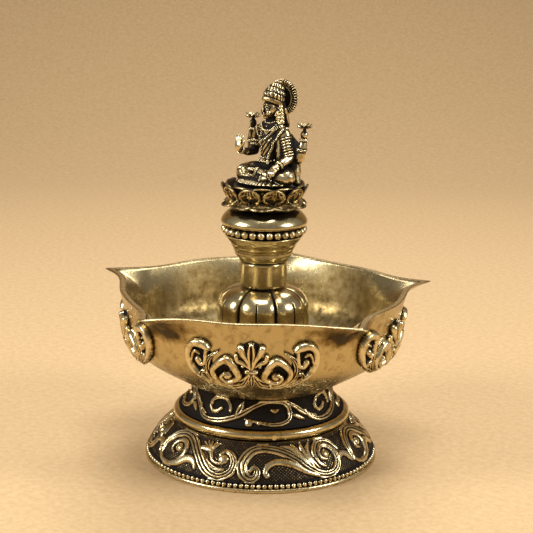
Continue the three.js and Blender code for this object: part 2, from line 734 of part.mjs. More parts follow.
function lotusThrone() {
  const core = turned([
    point(screwBore, lotusBase),
    point(LOTUS_WAIST_RADIUS, lotusBase),
    point(LOTUS_WAIST_RADIUS, lotusBase + LOTUS_HEIGHT * 0.65),
    point(LOTUS_SEAT_RADIUS, lotusTop - LOTUS_HEIGHT * 0.1),
    point(LOTUS_SEAT_RADIUS, lotusTop),
    point(screwBore, lotusTop),
  ], MEDIUM);
  const lowerRoot = point(LOTUS_WAIST_RADIUS - LOWER_PETAL_INSET, lotusBase + LOWER_PETAL_RISE);
  const upperRoot = point(LOTUS_WAIST_RADIUS - UPPER_PETAL_INSET, lotusBase + UPPER_PETAL_RISE);
  const lower = petalRing(lowerRoot, LOWER_PETAL_TILT, -PETAL_CUP, 0);
  const upper = petalRing(upperRoot, UPPER_PETAL_TILT, PETAL_CUP, 180 / LOTUS_PETALS);
  return geometryOf(joined([core, ...lower, ...upper]));
}

// Places on the figure, in hundredths of its height: across (+ to her left), back (+Y) and up
// from her seat.
const landmark = {
  hip: [9, 10, 9],
  knee: [27.5, 0, 7.5],
  rightAnkle: [10, -13, 4.5],
  leftAnkle: [-1, -13.5, 9],
  waist: [0, 8.5, 24],
  chest: [0, 9, 43],
  shoulder: [15, 10, 51],
  neck: [0, 10.5, 67],
  head: [0, 9.5, 73.5],
  crown: [0, 10.5, 85],
  crownTop: [0, 19, 97],
  halo: [0, 26.5, 82.3],
};

const across = (place, side) => [place[0] * side, place[1], place[2]];

// Scales a place or a size in hundredths of the figure's height to millimetres.
const part = (share) => (share * FIGURE_HEIGHT) / 100;
const at = (place) => [part(place[0]), part(place[1]), seat + part(place[2])];
const limbAt = (from, to, start, end, facets) => limb(at(from), at(to), part(start), part(end), facets);
const ballAt = (place, halves, tip, facets) => ball(at(place), halves.map(part), tip, facets);

function legs() {
  const pieces = [ballAt([0, 10, 9], [17, 13, 9])];
  for (const side of [-1, 1]) {
    pieces.push(limbAt(across(landmark.hip, side), across(landmark.knee, side), 9, 7.6, 10));
  }
  pieces.push(limbAt(across(landmark.knee, -1), landmark.rightAnkle, 6.8, 4.2));
  pieces.push(limbAt(landmark.knee, landmark.leftAnkle, 6.8, 4));
  pieces.push(ballAt([15.5, -13, 4.4], [7.5, 4, 3.4]));
  pieces.push(ballAt([-6, -13, 11], [7, 3.6, 3]));
  return pieces;
}

function torso() {
  return [
    limbAt([0, 9.5, 12], landmark.waist, 11.5, 8.6, 10),
    limbAt(landmark.waist, landmark.chest, 8.6, 10.5, 10),
    ballAt(landmark.chest, [13.5, 9, 11]),
    ballAt([5.8, 2.6, 42.5], [5.2, 5.2, 5.2], 0, 8),
    ballAt([-5.8, 2.6, 42.5], [5.2, 5.2, 5.2], 0, 8),
    limbAt(across(landmark.shoulder, -1), landmark.shoulder, 5.8, 5.8, 8),
    limbAt([0, 10, 50], landmark.neck, 5.5, 4.4),
  ];
}

// A head of plain, even proportions under a tiered crown that leans back on the halo.
function head() {
  const pieces = [
    ballAt(landmark.head, [7.6, 8.6, 9.6]),
    ballAt([0, 1.2, 73], [1.2, 1.6, 2.2], 0, 6),
    ballAt([0, 18.5, 74], [6.5, 7.5, 8]),
    ballAt(landmark.crown, [9.8, 11, 5.4]),
    ballAt([0, 14.5, 90.5], [8, 8.8, 5]),
    ballAt(landmark.crownTop, [5.2, 5.4, 3.8]),
  ];
  for (const side of [-1, 1]) pieces.push(ballAt([7.4 * side, 11.5, 69], [2, 2.8, 2.8], 0, 6));
  return pieces;
}

// A disc with a notched edge and a raised rim, standing behind the crown.
function halo() {
  const edge = Array.from({ length: 2 * HALO_RIDGES }, (_, i) => {
    const radius = part(i % 2 ? 17.2 : 18.2);
    const angle = (Math.PI * i) / HALO_RIDGES;
    return point(radius * Math.cos(angle), radius * Math.sin(angle));
  });
  const options = { depth: part(3), bevelEnabled: false };
  const disc = new THREE.ExtrudeGeometry(new THREE.Shape(edge), options);
  disc.rotateX(Math.PI / 2).translate(...at(landmark.halo));
  return weld(disc);
}

// A front arm, down from the shoulder and forward from the elbow.
function frontArm(side, elbow, wrist) {
  return [
    limbAt(across(landmark.shoulder, side), elbow, 5.2, 4.1),
    limbAt(elbow, wrist, 4.1, 2.7),
  ];
}

// The raised right hand: an open palm with four fingers and a thumb.
function raisedHand(wrist) {
  const [x, y, z] = wrist;
  const pieces = [ballAt([x, y - 0.6, z + 5], [4.6, 2, 5.4], 8, 8)];
  for (let finger = 0; finger < 4; finger += 1) {
    const spread = (finger - 1.5) * 2;
    const reach = z + 17 - Math.abs(finger - 1.3) * 1.2;
    pieces.push(limbAt([x + spread, y - 0.3, z + 8], [x + spread * 1.1, y + 2.5, reach], 1.2, 0.9, 5));
  }
  pieces.push(limbAt([x + 3, y - 0.8, z + 4], [x + 6.2, y - 1.4, z + 9.5], 1.3, 1, 5));
  return pieces;
}

// The resting left hand, laid over the knee with its fingers down.
function restingHand(wrist) {
  const [x, y, z] = wrist;
  const pieces = [ballAt([x, y - 3, z - 2.2], [4, 4, 2.4], -35, 8)];
  for (let finger = 0; finger < 4; finger += 1) {
    const spread = (finger - 1.5) * 2;
    pieces.push(limbAt([x + spread, y - 5, z - 3.6], [x + spread, y - 7.6, z - 9.5], 1.3, 1, 5));
  }
  return pieces;
}

// An open lotus: a shallow cup whose rim rises into six petals.
function openLotus(place) {
  const petals = 6;
  const cup = turned([
    point(0, 0),
    point(part(5), part(1.4)),
    point(part(8), part(4)),
    point(part(4), part(3.6)),
    point(0, part(2.8)),
  ], 2 * petals);
  const corner = cup.attributes.position;
  for (let i = 0; i < corner.count; i += 1) {
    const [x, y, z] = [corner.getX(i), corner.getY(i), corner.getZ(i)];
    const wave = 1 + 0.14 * Math.cos(petals * Math.atan2(y, x)) * Math.min(1, Math.hypot(x, y) / part(5));
    corner.setXYZ(i, x * wave, y * wave, z * wave);
  }
  return cup.translate(...at(place));
}

// A rear arm bent up at the elbow, and the open lotus that its hand holds.
function rearArm(side, handLevel) {
  const elbow = [31 * side, 16, 31];
  const hand = [31.5 * side, 17, handLevel];
  const [x, y, z] = [hand[0], hand[1], handLevel + 6];
  const pieces = [
    limbAt([13 * side, 14, 49], elbow, 5, 4),
    limbAt(elbow, [hand[0], hand[1], handLevel - 5], 3.9, 2.7),
    ballAt(hand, [3.6, 3.2, 4.4], 0, 8),
    limbAt(hand, [x, y, z], 1.4, 1.4, 6),
  ];
  pieces.push(openLotus([x, y, z - 1]));
  return pieces;
}

function goddess() {
  const rightElbow = [-20.5, 9.5, 30];
  const rightWrist = [-22.5, -12.5, 32];
  const leftElbow = [24.5, 9, 26];
  const leftWrist = [24, -5.5, 18];
  const body = joined([
    ...legs(),
    ...torso(),
    ...head(),
    halo(),
    ...frontArm(-1, rightElbow, rightWrist),
    ...raisedHand(rightWrist),
    ...frontArm(1, leftElbow, leftWrist),
    ...restingHand(leftWrist),
    ...rearArm(-1, 56),
    ...rearArm(1, 52),
  ]);
  const below = solid(bar(LOTUS_SEAT_RADIUS * 2, seat - FIGURE_HEIGHT, seat));
  const bore = solid(bar(screwBore, seat - 1, seat + FIGURE_SCREW_GRIP + SEAT_GAP, COARSE));
  return geometryOf(body.subtract(below).subtract(bore));
}

const lamp = new THREE.Group();

function finish(color, roughness, metalness = 1) {
  return new THREE.MeshStandardMaterial({ color, roughness, metalness });
}

function add(name, geometry, material) {
  const mesh = new THREE.Mesh(geometry, material);
  mesh.name = name;
  lamp.add(mesh);
  return mesh;
}

const polished = () => finish('#c9ae74', 0.28);
const antique = () => finish('#8f7340', 0.42);
const satin = () => finish('#b29a62', 0.4);

add('foot_skirt', footSkirt(), antique());
add('foot_ring', footRing(), polished());
add('ring_pin', ringPin(), polished());
add('pedestal', pedestal(), antique());
add('tapped_post', tappedPost(), satin());
add('bowl', bowl(), satin());

const ornament = geometryOf(cartouche());
const places = ['front', 'right', 'back_right', 'back_left', 'left'];
places.forEach((place, i) => {
  const mesh = add(`cartouche_${place}`, ornament, antique());
  mesh.rotation.z = radians(-90 + 360 * ((i + 0.5) / SPOUT_COUNT));
});

add('column_seal', columnSeal(), finish('#3a2a1e', 0.8, 0));
add('petal_bell', petalBell(), polished());
add('neck', neck(), polished());
add('capital', capital(), polished());
add('bead_ring', beadRing(), antique());
add('cushion', cushion(), polished());
add('column_stud', columnStud(), satin());
add('figure_screw', figureScrew(), satin());
add('lotus_throne', lotusThrone(), antique());
add('goddess', goddess(), antique());

export default lamp;
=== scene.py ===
# %% [markdown]
# # A five-spouted brass oil lamp with a seated goddess
# The real lamp is a handful of small brass castings, screwed together on one stud. Its plain parts
# are turned and polished bright. Its carved parts keep a black finish in their hollows, and only their
# high places are rubbed back to bright metal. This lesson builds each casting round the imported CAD
# model: the CAD says where everything is, and each cell here gives one piece its true surface.

import bmesh
import bpy
import numpy as np
from mathutils import Matrix
from mathutils.bvhtree import BVHTree
from mathutils.kdtree import KDTree


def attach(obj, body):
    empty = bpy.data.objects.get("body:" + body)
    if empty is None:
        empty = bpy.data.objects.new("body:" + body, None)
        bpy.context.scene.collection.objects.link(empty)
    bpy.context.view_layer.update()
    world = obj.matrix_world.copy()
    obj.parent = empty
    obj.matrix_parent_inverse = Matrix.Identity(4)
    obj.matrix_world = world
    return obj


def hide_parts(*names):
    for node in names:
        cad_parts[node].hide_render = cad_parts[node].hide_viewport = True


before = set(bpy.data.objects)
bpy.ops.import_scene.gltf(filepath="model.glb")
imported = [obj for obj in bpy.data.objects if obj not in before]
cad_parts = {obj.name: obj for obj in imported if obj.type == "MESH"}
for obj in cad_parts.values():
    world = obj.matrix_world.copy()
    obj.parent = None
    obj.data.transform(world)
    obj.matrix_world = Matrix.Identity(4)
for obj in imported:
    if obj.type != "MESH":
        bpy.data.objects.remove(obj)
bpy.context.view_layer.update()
MM = 0.001
FULL_TURN = 2 * np.pi

# %% [markdown]
# ## Small tools for surfaces
# Every new piece here is a surface worked out with numpy. A grid of places in millimetres becomes a
# mesh of quads. A turned piece is a profile carried round the Z axis, and a cast limb is a circle
# carried along a path. One spline function rounds every path off, so a shape needs few numbers.


# %% Paths and grids
def spline(points, steps=8):
    """Points on a smooth curve through the given ones. Between two of them it is the cubic whose
    slope at each end is half the way from the point before to the point after (Catmull-Rom)."""
    p = np.asarray(points, float)
    p = np.vstack([2 * p[0] - p[1], p, 2 * p[-1] - p[-2]])
    t = np.linspace(0, 1, steps, endpoint=False)[None, :, None]
    a, b, c, d = (p[i:len(p) - 3 + i, None] for i in range(4))
    curve = 2 * b + (c - a) * t + (2 * a - 5 * b + 4 * c - d) * t**2 + (3 * b - a - 3 * c + d) * t**3
    return np.vstack([curve.reshape(-1, p.shape[1]) / 2, p[-2]])


def even(path, step):
    """Points spaced evenly along a path: its places are read off at equal lengths."""
    path = np.asarray(path, float)
    length = np.concatenate([[0], np.cumsum(np.linalg.norm(np.diff(path, axis=0), axis=1))])
    stops = np.linspace(0, length[-1], max(2, int(round(length[-1] / step)) + 1))
    return np.stack([np.interp(stops, length, path[:, k]) for k in range(path.shape[1])], -1)


def soften(path, passes):
    """Rounds a path's corners: each pass moves a point halfway to the mean of its neighbours."""
    path = path.copy()
    for _ in range(passes):
        path[1:-1] += 0.5 * ((path[:-2] + path[2:]) / 2 - path[1:-1])
    return path


def smoothstep(low, high, x):
    """0 below low, 1 above high, and 3t^2 - 2t^3 between."""
    t = np.clip((x - low) / (high - low), 0, 1)
    return t * t * (3 - 2 * t)


def grid_quads(rows, columns, wrap_rows=False, wrap_columns=True):
    """Corner numbers of the quads that join each place of a grid to the next row and column."""
    row = np.arange(rows if wrap_rows else rows - 1)[:, None]
    column = np.arange(columns if wrap_columns else columns - 1)[None, :]
    above, beside = (row + 1) % rows, (column + 1) % columns
    corners = [row * columns + column, row * columns + beside, above * columns + beside]
    return np.stack([*corners, above * columns + column], -1).reshape(-1, 4)


def around(radius, height, angle):
    """Places at a radius, an angle and a height: (r cos a, r sin a, z)."""
    radius, height, angle = np.broadcast_arrays(radius, height, angle)
    return np.stack([radius * np.cos(angle), radius * np.sin(angle), height], -1)


def turns(count, first=0.0):
    """Evenly spaced angles round a full turn, from `first` degrees."""
    return np.radians(first) + np.arange(count) * FULL_TURN / count


def rows_round(line, angle):
    """A (radius, height) profile carried round the Z axis, as a grid of places."""
    return around(line[:, None, 0], line[:, None, 1], angle[None, :])


def revolved(line, columns):
    """A closed profile carried round the Z axis, as a list of places and its faces."""
    return rows_round(line, turns(columns)).reshape(-1, 3), grid_quads(len(line), columns, wrap_rows=True)


# %% [markdown]
# ## From places to a finished piece
# A brass casting that has been blackened and rubbed back is dark wherever a finger or a polishing mop
# can't reach. So each mesh measures its own hollows: the surface is smoothed a few times, and where
# the smooth surface lies outside the real one, that place is in a hollow. The result is kept on the
# mesh as a patina attribute, from 0 for bright metal to 1 for black, and the materials read it. On the
# figure and her halo the same attribute also holds painted shade.


# %% Meshes, hollows and the piece maker
def merged(parts):
    """Joins (places, faces) pairs into one pair, renumbering the faces."""
    first = np.cumsum([0] + [len(places) for places, _ in parts[:-1]])
    return (np.vstack([places for places, _ in parts]),
            np.vstack([faces + start for (_, faces), start in zip(parts, first)]))


def new_mesh(name, places, faces, black=0.0):
    """A mesh from places in millimetres and rows of corner numbers; doubled corners are welded.
    `black` starts its patina and painted shade, one value for each place."""
    mesh = bpy.data.meshes.new(name)
    mesh.from_pydata((places.reshape(-1, 3) * MM).tolist(), [], faces.tolist())
    layer = mesh.attributes.new("patina_and_shade", "FLOAT", "POINT")
    layer.data.foreach_set("value", np.broadcast_to(black, len(mesh.vertices)).astype(np.float32))
    work = bmesh.new()
    work.from_mesh(mesh)
    bmesh.ops.remove_doubles(work, verts=work.verts, dist=1e-6)
    bmesh.ops.dissolve_degenerate(work, edges=work.edges, dist=1e-7)
    work.to_mesh(mesh)
    work.free()
    return mesh


def corners_of(mesh, what):
    """Three numbers for each corner of a mesh: its place ("co") or its normal."""
    flat = np.empty(len(mesh.vertices) * 3, np.float32)
    mesh.vertices.foreach_get(what, flat)
    return flat.reshape(-1, 3)


def places_of(mesh):
    """The corners' places in millimetres."""
    return corners_of(mesh, "co").astype(float) / MM


def smoothed(mesh, rounds):
    """The corners' places after each has moved halfway to the mean of its neighbours, `rounds` times."""
    count = len(mesh.vertices)
    ends = np.empty(len(mesh.edges) * 2, np.int32)
    mesh.edges.foreach_get("vertices", ends)
    ends = ends.reshape(-1, 2)
    both = np.vstack([ends, ends[:, ::-1]])
    valence = np.maximum(np.bincount(both[:, 0], minlength=count), 1)
    places = places_of(mesh)
    for _ in range(rounds):
        total = [np.bincount(both[:, 0], places[both[:, 1], k], count) for k in range(3)]
        places = 0.5 * places + 0.5 * np.stack(total, -1) / valence[:, None]
    return places


def hollows(mesh, rounds):
    """How far each corner lies inside the smoothed surface, in millimetres along its normal."""
    return ((smoothed(mesh, rounds) - places_of(mesh)) * corners_of(mesh, "normal")).sum(1)


def piece(name, places, faces, body, slot, finish, nodes=(), rounds=12, depth=0.12, black=0.0):
    """Makes a finished piece. Its patina is the hollow depth over `depth`, or `black` where that is
    darker; `black` is patina, and on the figure and her halo painted shade too. It rides on its body
    and stands for the CAD nodes named."""
    mesh = new_mesh(name, places, faces, black)
    values = np.empty(len(mesh.vertices), np.float32)
    mesh.attributes["patina_and_shade"].data.foreach_get("value", values)
    values = np.clip(np.maximum(values, hollows(mesh, rounds) / depth), 0, 1)
    mesh.attributes["patina_and_shade"].data.foreach_set("value", values.astype(np.float32))
    return dress(name, mesh, body, finish, nodes)


def dress(name, mesh, body, finish, nodes=()):
    """Gives a mesh its finish, makes it an object, and says what it rides on and stands for."""
    mesh.materials.append(finish)
    mesh.polygons.foreach_set("use_smooth", [True] * len(mesh.polygons))
    made = bpy.data.objects.new(name, mesh)
    bpy.context.scene.collection.objects.link(made)
    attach(made, body)
    if nodes:
        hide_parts(*nodes)
    print(f"{name}: {len(mesh.polygons)} faces on {body}")
    return made


# %% [markdown]
# ## The finishes
# All the metal is brass, and what changes is how each casting was finished. Carved parts are
# blackened, then rubbed: warm pale gold on the ridges, brown where the black is thin, and dull black
# in the ground. Turned parts are polished, with faint turning lines. The bowl is only brushed, so its
# skin shows fine pits. One helper adds a node with its settings, and colours are written as in a
# paint program and turned to the linear values that Blender wants.


# %% Colours and nodes
def linear(code):
    """An sRGB hex colour as linear light: c/12.92 in the darks, ((c + 0.055)/1.055)^2.4 above."""
    parts = [int(code[i:i + 2], 16) / 255 for i in (1, 3, 5)]
    return (*[c / 12.92 if c <= 0.04045 else ((c + 0.055) / 1.055) ** 2.4 for c in parts], 1.0)


def add_node(tree, kind, inputs=None, **settings):
    """Adds a node. Each input is a value, or the socket that it is linked to."""
    node = tree.nodes.new(kind)
    for name, value in settings.items():
        setattr(node, name, value)
    for name, value in (inputs or {}).items():
        if isinstance(value, bpy.types.NodeSocket):
            tree.links.new(value, node.inputs[name])
        else:
            node.inputs[name].default_value = value
    return node


def per_mm(size):
    """The texture scale that gives features of this size in millimetres."""
    return 1 / (size * MM)


def ramp_node(tree, factor, stops):
    """A colour ramp through (position, hex) stops."""
    node = add_node(tree, "ShaderNodeValToRGB", {"Fac": factor})
    while len(node.color_ramp.elements) < len(stops):
        node.color_ramp.elements.new(0.5)
    for element, (position, code) in zip(node.color_ramp.elements, stops):
        element.position = position
        element.color = linear(code)
    return node


def map_node(tree, value, low, high, start, end):
    """A value's run from low to high as a run from start to end."""
    return add_node(tree, "ShaderNodeMapRange", {
        "Value": value, "From Min": low, "From Max": high, "To Min": start, "To Max": end,
    }).outputs["Result"]


def new_finish(name):
    """A material with its shader and output, and the object's own coordinates."""
    material = bpy.data.materials.new(name)
    material.use_nodes = True
    tree = material.node_tree
    tree.nodes.clear()
    shader = add_node(tree, "ShaderNodeBsdfPrincipled")
    add_node(tree, "ShaderNodeOutputMaterial", {"Surface": shader.outputs["BSDF"]})
    place = add_node(tree, "ShaderNodeTexCoord").outputs["Object"]
    return material, tree, shader, place


# %% Brass in its three finishes, and the washer's rubber
def brass(name, stops, rough, mottle, grain, grain_depth, lines=0.0):
    """Cast brass. Patina, and painted shade where a piece carries it, broken up by a noise of `mottle`
    millimetres, picks the colour between the stops and the roughness between `rough`. A noise of `grain`
    millimetres is the casting's skin, and `lines` is the depth of turning lines."""
    material, tree, shader, place = new_finish(name)
    patina_and_shade = add_node(tree, "ShaderNodeAttribute", attribute_name="patina_and_shade").outputs["Fac"]
    blotch = add_node(tree, "ShaderNodeTexNoise", {
        "Vector": place, "Scale": per_mm(mottle), "Detail": 6.0, "Roughness": 0.62})
    shift = map_node(tree, blotch.outputs["Fac"], 0.32, 0.68, -0.2, 0.2)
    mixed = add_node(tree, "ShaderNodeMath", {0: patina_and_shade, 1: shift}, operation="ADD").outputs["Value"]
    colour = ramp_node(tree, mixed, stops)
    tree.links.new(colour.outputs["Color"], shader.inputs["Base Color"])
    tree.links.new(map_node(tree, mixed, 0.45, 0.8, 1.0, 0.0), shader.inputs["Metallic"])
    tree.links.new(map_node(tree, mixed, 0.45, 0.9, 0.5, 0.2), shader.inputs["Specular IOR Level"])
    tree.links.new(map_node(tree, mixed, 0.0, 0.9, *rough), shader.inputs["Roughness"])
    skin = add_node(tree, "ShaderNodeTexNoise", {"Vector": place, "Scale": per_mm(grain), "Detail": 3.0})
    bump = add_node(tree, "ShaderNodeBump", {
        "Height": skin.outputs["Fac"], "Strength": 1.0, "Distance": grain_depth * MM})
    if lines:
        height = add_node(tree, "ShaderNodeSeparateXYZ", {"Vector": place}).outputs["Z"]
        flat = add_node(tree, "ShaderNodeCombineXYZ", {"X": height})
        rings = add_node(tree, "ShaderNodeTexNoise", {
            "Vector": flat.outputs["Vector"], "Scale": per_mm(0.22), "Detail": 4.0})
        bump = add_node(tree, "ShaderNodeBump", {
            "Height": rings.outputs["Fac"], "Strength": 1.0, "Distance": lines * MM,
            "Normal": bump.outputs["Normal"]})
    tree.links.new(bump.outputs["Normal"], shader.inputs["Normal"])
    return material


# Blackened brass rubbed back: the ridges stay warm and pale, the ground is a dull near-black.
antique = brass("antique_brass_blackened_and_rubbed", [
    (0.0, "#e0d2aa"), (0.16, "#b39a66"), (0.36, "#4d3b20"), (0.6, "#150e07")],
    (0.24, 0.7), 1.8, 0.3, 0.03)
# Turned and mopped brass: even and bright, with faint rings left by the lathe tool.
polished = brass("polished_brass_turned", [
    (0.0, "#cfbf92"), (0.22, "#9c8656"), (0.5, "#4a3920"), (0.8, "#100c07")],
    (0.2, 0.55), 2.2, 0.35, 0.02, 0.0022)
# Brushed cast brass: a little duller, with a sandy skin.
satin = brass("satin_brass_brushed_casting", [
    (0.0, "#c2b084"), (0.25, "#937d50"), (0.5, "#4a3a20"), (0.85, "#120d07")],
    (0.27, 0.6), 3.4, 0.45, 0.055)
rubber, rubber_tree, rubber_shader, rubber_place = new_finish("nitrile_rubber_washer")
rubber_skin = add_node(rubber_tree, "ShaderNodeTexNoise", {"Vector": rubber_place, "Scale": per_mm(0.4)})
rubber_ramp = ramp_node(rubber_tree, rubber_skin.outputs["Fac"], [(0.3, "#2c1f16"), (0.7, "#42301f")])
rubber_tree.links.new(rubber_ramp.outputs["Color"], rubber_shader.inputs["Base Color"])
rubber_shader.inputs["Roughness"].default_value = 0.7
print("finishes:", [m.name for m in (antique, polished, satin, rubber)])

# %% [markdown]
# ## Carved relief
# The scrolls on the foot, the pedestal and the cartouches were carved in wax before casting. Each one
# is a stroke: a path of (across, up, half width) places, a height and a number of ridges. The relief's
# height at any place is that of the highest stroke there, and a stroke's section is a rounded hump,
# grooved along its length where it has several ridges.


# %% The height of a field of strokes
def hump(q, ridges):
    """A stroke's section: sqrt(1 - q^2) for a ball, else a flatter hump cut by cosine grooves.
    q is 0 on the stroke's middle line and 1 at its edge."""
    q = np.clip(q, 0, 1)
    if ridges == 0:
        return np.sqrt(1 - q**2)
    body = np.sqrt(1 - q**3)
    if ridges == 1:
        return body
    sign = 1 if ridges % 2 else -1
    return body * (0.62 + 0.38 * (0.5 + 0.5 * sign * np.cos(ridges * np.pi * q)))


def relief(u, v, strokes):
    """The highest of the strokes at each place. The section is read at the distance to the nearest
    point of the path, divided by the half width there."""
    height = np.zeros(u.shape)
    for path, tall, ridges in strokes:
        line = spline(path)
        start, way = line[:-1], np.diff(line, axis=0)
        reach = line[:, 2].max()
        low, high = line.min(0) - reach, line.max(0) + reach
        near = (u > low[0]) & (u < high[0]) & (v > low[1]) & (v < high[1])
        x, y = u[near][:, None] - start[:, 0], v[near][:, None] - start[:, 1]
        along = np.clip((x * way[:, 0] + y * way[:, 1]) / (way[:, 0]**2 + way[:, 1]**2 + 1e-9), 0, 1)
        gap = np.hypot(x - along * way[:, 0], y - along * way[:, 1])
        q = (gap / (start[:, 2] + along * way[:, 2])).min(1)
        height[near] = np.maximum(height[near], np.where(q < 1, tall * hump(q, ridges), 0))
    return height


def ball(u, v, radius, tall=1.1):
    """A round boss, as a stroke with no length."""
    return np.array([(u, v, radius), (u + 0.01, v, radius)]), tall, 0


def widths(places, sizes):
    """Adds half widths to a path's places, spread evenly from the sizes given."""
    stops = np.linspace(0, 1, len(sizes))
    return np.column_stack([places, np.interp(np.linspace(0, 1, len(places)), stops, sizes)])


def bolder(strokes, share):
    """Strokes with their half widths times a share."""
    return [(path * [1, 1, share], tall, ridges) for path, tall, ridges in strokes]


# %% [markdown]
# ## Camera, floor and light
# The camera stands where the photographer's did: a little to the right of the goddess's left knee and
# a hand's width above the bowl. The floor is a pale sheet that sweeps up behind. Polished brass shows
# whatever is round it, so four large soft lamps are placed for their reflections: two beside the
# lamp, one above it and one high behind it, with a dim room between them for the dark stripes.

# %% The camera
TURN, RISE, DISTANCE = np.radians(39.95), np.radians(13.293), 515.2
ROLL, AIM_HEIGHT, AIM_SIDE, LENS = np.radians(-0.914), 65.02, 1.003, 104.73
back = np.array([np.sin(TURN) * np.cos(RISE), -np.cos(TURN) * np.cos(RISE), np.sin(RISE)])
right = np.array([np.cos(TURN), np.sin(TURN), 0.0])
up = np.cross(back, right)
eye = (np.array([0, 0, AIM_HEIGHT]) + right * AIM_SIDE + back * DISTANCE) * MM
camera = bpy.data.objects.new("camera", bpy.data.cameras.new("camera"))
camera.data.lens = LENS
camera.data.sensor_width = 36.0
camera.data.clip_start = 0.01
axes = np.eye(4)
axes[:3, 0] = right * np.cos(ROLL) - up * np.sin(ROLL)
axes[:3, 1] = right * np.sin(ROLL) + up * np.cos(ROLL)
axes[:3, 2] = back
axes[:3, 3] = eye
camera.matrix_world = Matrix(axes.tolist())
bpy.context.scene.collection.objects.link(camera)
bpy.context.scene.camera = camera
bpy.context.scene.view_settings.view_transform = "Standard"
print("camera at", np.round(eye, 3))

# %% The floor that sweeps up into a backdrop
FLOOR_REACH, SWEEP_START, SWEEP_RADIUS = 900.0, 500.0, 500.0
bend = np.linspace(0, np.pi / 2, 24)
sweep = np.vstack([[[-FLOOR_REACH, 0], [0, 0]], np.stack([
    SWEEP_START + SWEEP_RADIUS * np.sin(bend), SWEEP_RADIUS * (1 - np.cos(bend))], -1), [
    [SWEEP_START + SWEEP_RADIUS, 1400]]])
side = np.linspace(-1400, 1400, 3)
away = np.array([-back[0], -back[1]]) / np.hypot(back[0], back[1])
floor_places = np.stack([
    sweep[:, None, 0] * away[0] + side * right[0],
    sweep[:, None, 0] * away[1] + side * right[1],
    np.repeat(sweep[:, None, 1], 3, 1)], -1).reshape(-1, 3)
floor_mesh = new_mesh("floor", floor_places, grid_quads(len(sweep), 3, wrap_columns=False)[:, ::-1])
paper, paper_tree, paper_shader, paper_place = new_finish("matt_pale_paper")
FIBRE = 2.4
paper_fibre = add_node(paper_tree, "ShaderNodeTexNoise", {
    "Vector": paper_place, "Scale": per_mm(FIBRE), "Detail": 6.0, "Roughness": 0.75})
paper_ramp = ramp_node(paper_tree, paper_fibre.outputs["Fac"], [(0.3, "#bb9a6c"), (0.7, "#cfb185")])
paper_tree.links.new(paper_ramp.outputs["Color"], paper_shader.inputs["Base Color"])
paper_shader.inputs["Roughness"].default_value = 0.9
floor_mesh.materials.append(paper)
floor_mesh.polygons.foreach_set("use_smooth", [True] * len(floor_mesh.polygons))
floor = bpy.data.objects.new("floor", floor_mesh)
bpy.context.scene.collection.objects.link(floor)


# %% Soft lamps and the dim room
def soft_lamp(name, azimuth, height, distance, width, tall, watts):
    """A rectangular lamp that faces the middle of the object, at an azimuth from the camera's."""
    angle = TURN + np.radians(azimuth)
    spot = np.array([np.sin(angle) * distance, -np.cos(angle) * distance, height]) * MM
    facing = np.array([0, 0, 60 * MM]) - spot
    facing /= np.linalg.norm(facing)
    across = np.cross(facing, [0, 0, 1])
    across /= np.linalg.norm(across)
    lamp = bpy.data.objects.new(name, bpy.data.lights.new(name, "AREA"))
    lamp.data.shape = "RECTANGLE"
    lamp.data.size, lamp.data.size_y = width * MM, tall * MM
    lamp.data.energy = watts
    pose = np.eye(4)
    pose[:3, 0], pose[:3, 1], pose[:3, 2] = across, np.cross(across, facing), -facing
    pose[:3, 3] = spot
    lamp.matrix_world = Matrix(pose.tolist())
    bpy.context.scene.collection.objects.link(lamp)
    return lamp


soft_lamp("lamp_left", azimuth=-66, height=420, distance=640, width=230, tall=260, watts=3.6)
soft_lamp("lamp_right", azimuth=70, height=420, distance=640, width=200, tall=230, watts=2.8)
soft_lamp("lamp_over", azimuth=170, height=640, distance=420, width=420, tall=220, watts=3.0)
soft_lamp("lamp_top", azimuth=10, height=640, distance=90, width=260, tall=220, watts=2.2)
ROOM_LIGHT = 0.26
world = bpy.data.worlds.new("dim_room")
bpy.context.scene.world = world
world.use_nodes = True
world.node_tree.nodes.clear()
room = add_node(world.node_tree, "ShaderNodeBackground", {"Color": linear("#fff6ea"), "Strength": ROOM_LIGHT})
add_node(world.node_tree, "ShaderNodeOutputWorld", {"Surface": room.outputs["Background"]})

# %% [markdown]
# ## The bowl
# The bowl was cast as a plain turned dish and its rim was then pinched out into five spouts for the
# wicks. It is one surface: a profile goes up the outside, over the rim and down the inside, and near
# the rim every point moves outwards by a peak that dies away exponentially on both sides of a spout.

# %% Sizes that the bowl shares with its ornament
RIM_RADIUS, RIM_HEIGHT, WALL = 47.3, 58.1, 1.8
SHOULDER = np.array([45.2, 45.5])
SEAT = np.array([24.0, 26.3])
CONE_ANGLE = np.radians(30.5)
SPOUTS, SPOUT_REACH, SPOUT_DEPTH = 5, 12.2, 9.0
SPREAD, TIP_ROUND, SPOUT_LIP = 7.0, 0.9, 2.4
FLOOR_TOP, BORE = 28.1, 3.35


def bowl_wall():
    """The outer face from the seat to the rim: a cubic from the cone into the shoulder, then a
    straight wall. Rows of (radius, height)."""
    cone = np.array([np.cos(CONE_ANGLE), np.sin(CONE_ANGLE)])
    rim = np.array([RIM_RADIUS, RIM_HEIGHT])
    wall = (rim - SHOULDER) / np.linalg.norm(rim - SHOULDER)
    span = np.linalg.norm(SHOULDER - SEAT)
    t = np.linspace(0, 1, 60)[:, None]
    a, b, c, d = SEAT, SEAT + 0.7 * span * cone, SHOULDER - 0.31 * span * wall, SHOULDER
    curve = (1 - t)**3 * a + 3 * (1 - t)**2 * t * b + 3 * (1 - t) * t**2 * c + t**3 * d
    return np.vstack([curve, SHOULDER + (rim - SHOULDER) * np.linspace(0, 1, 24)[1:, None]])


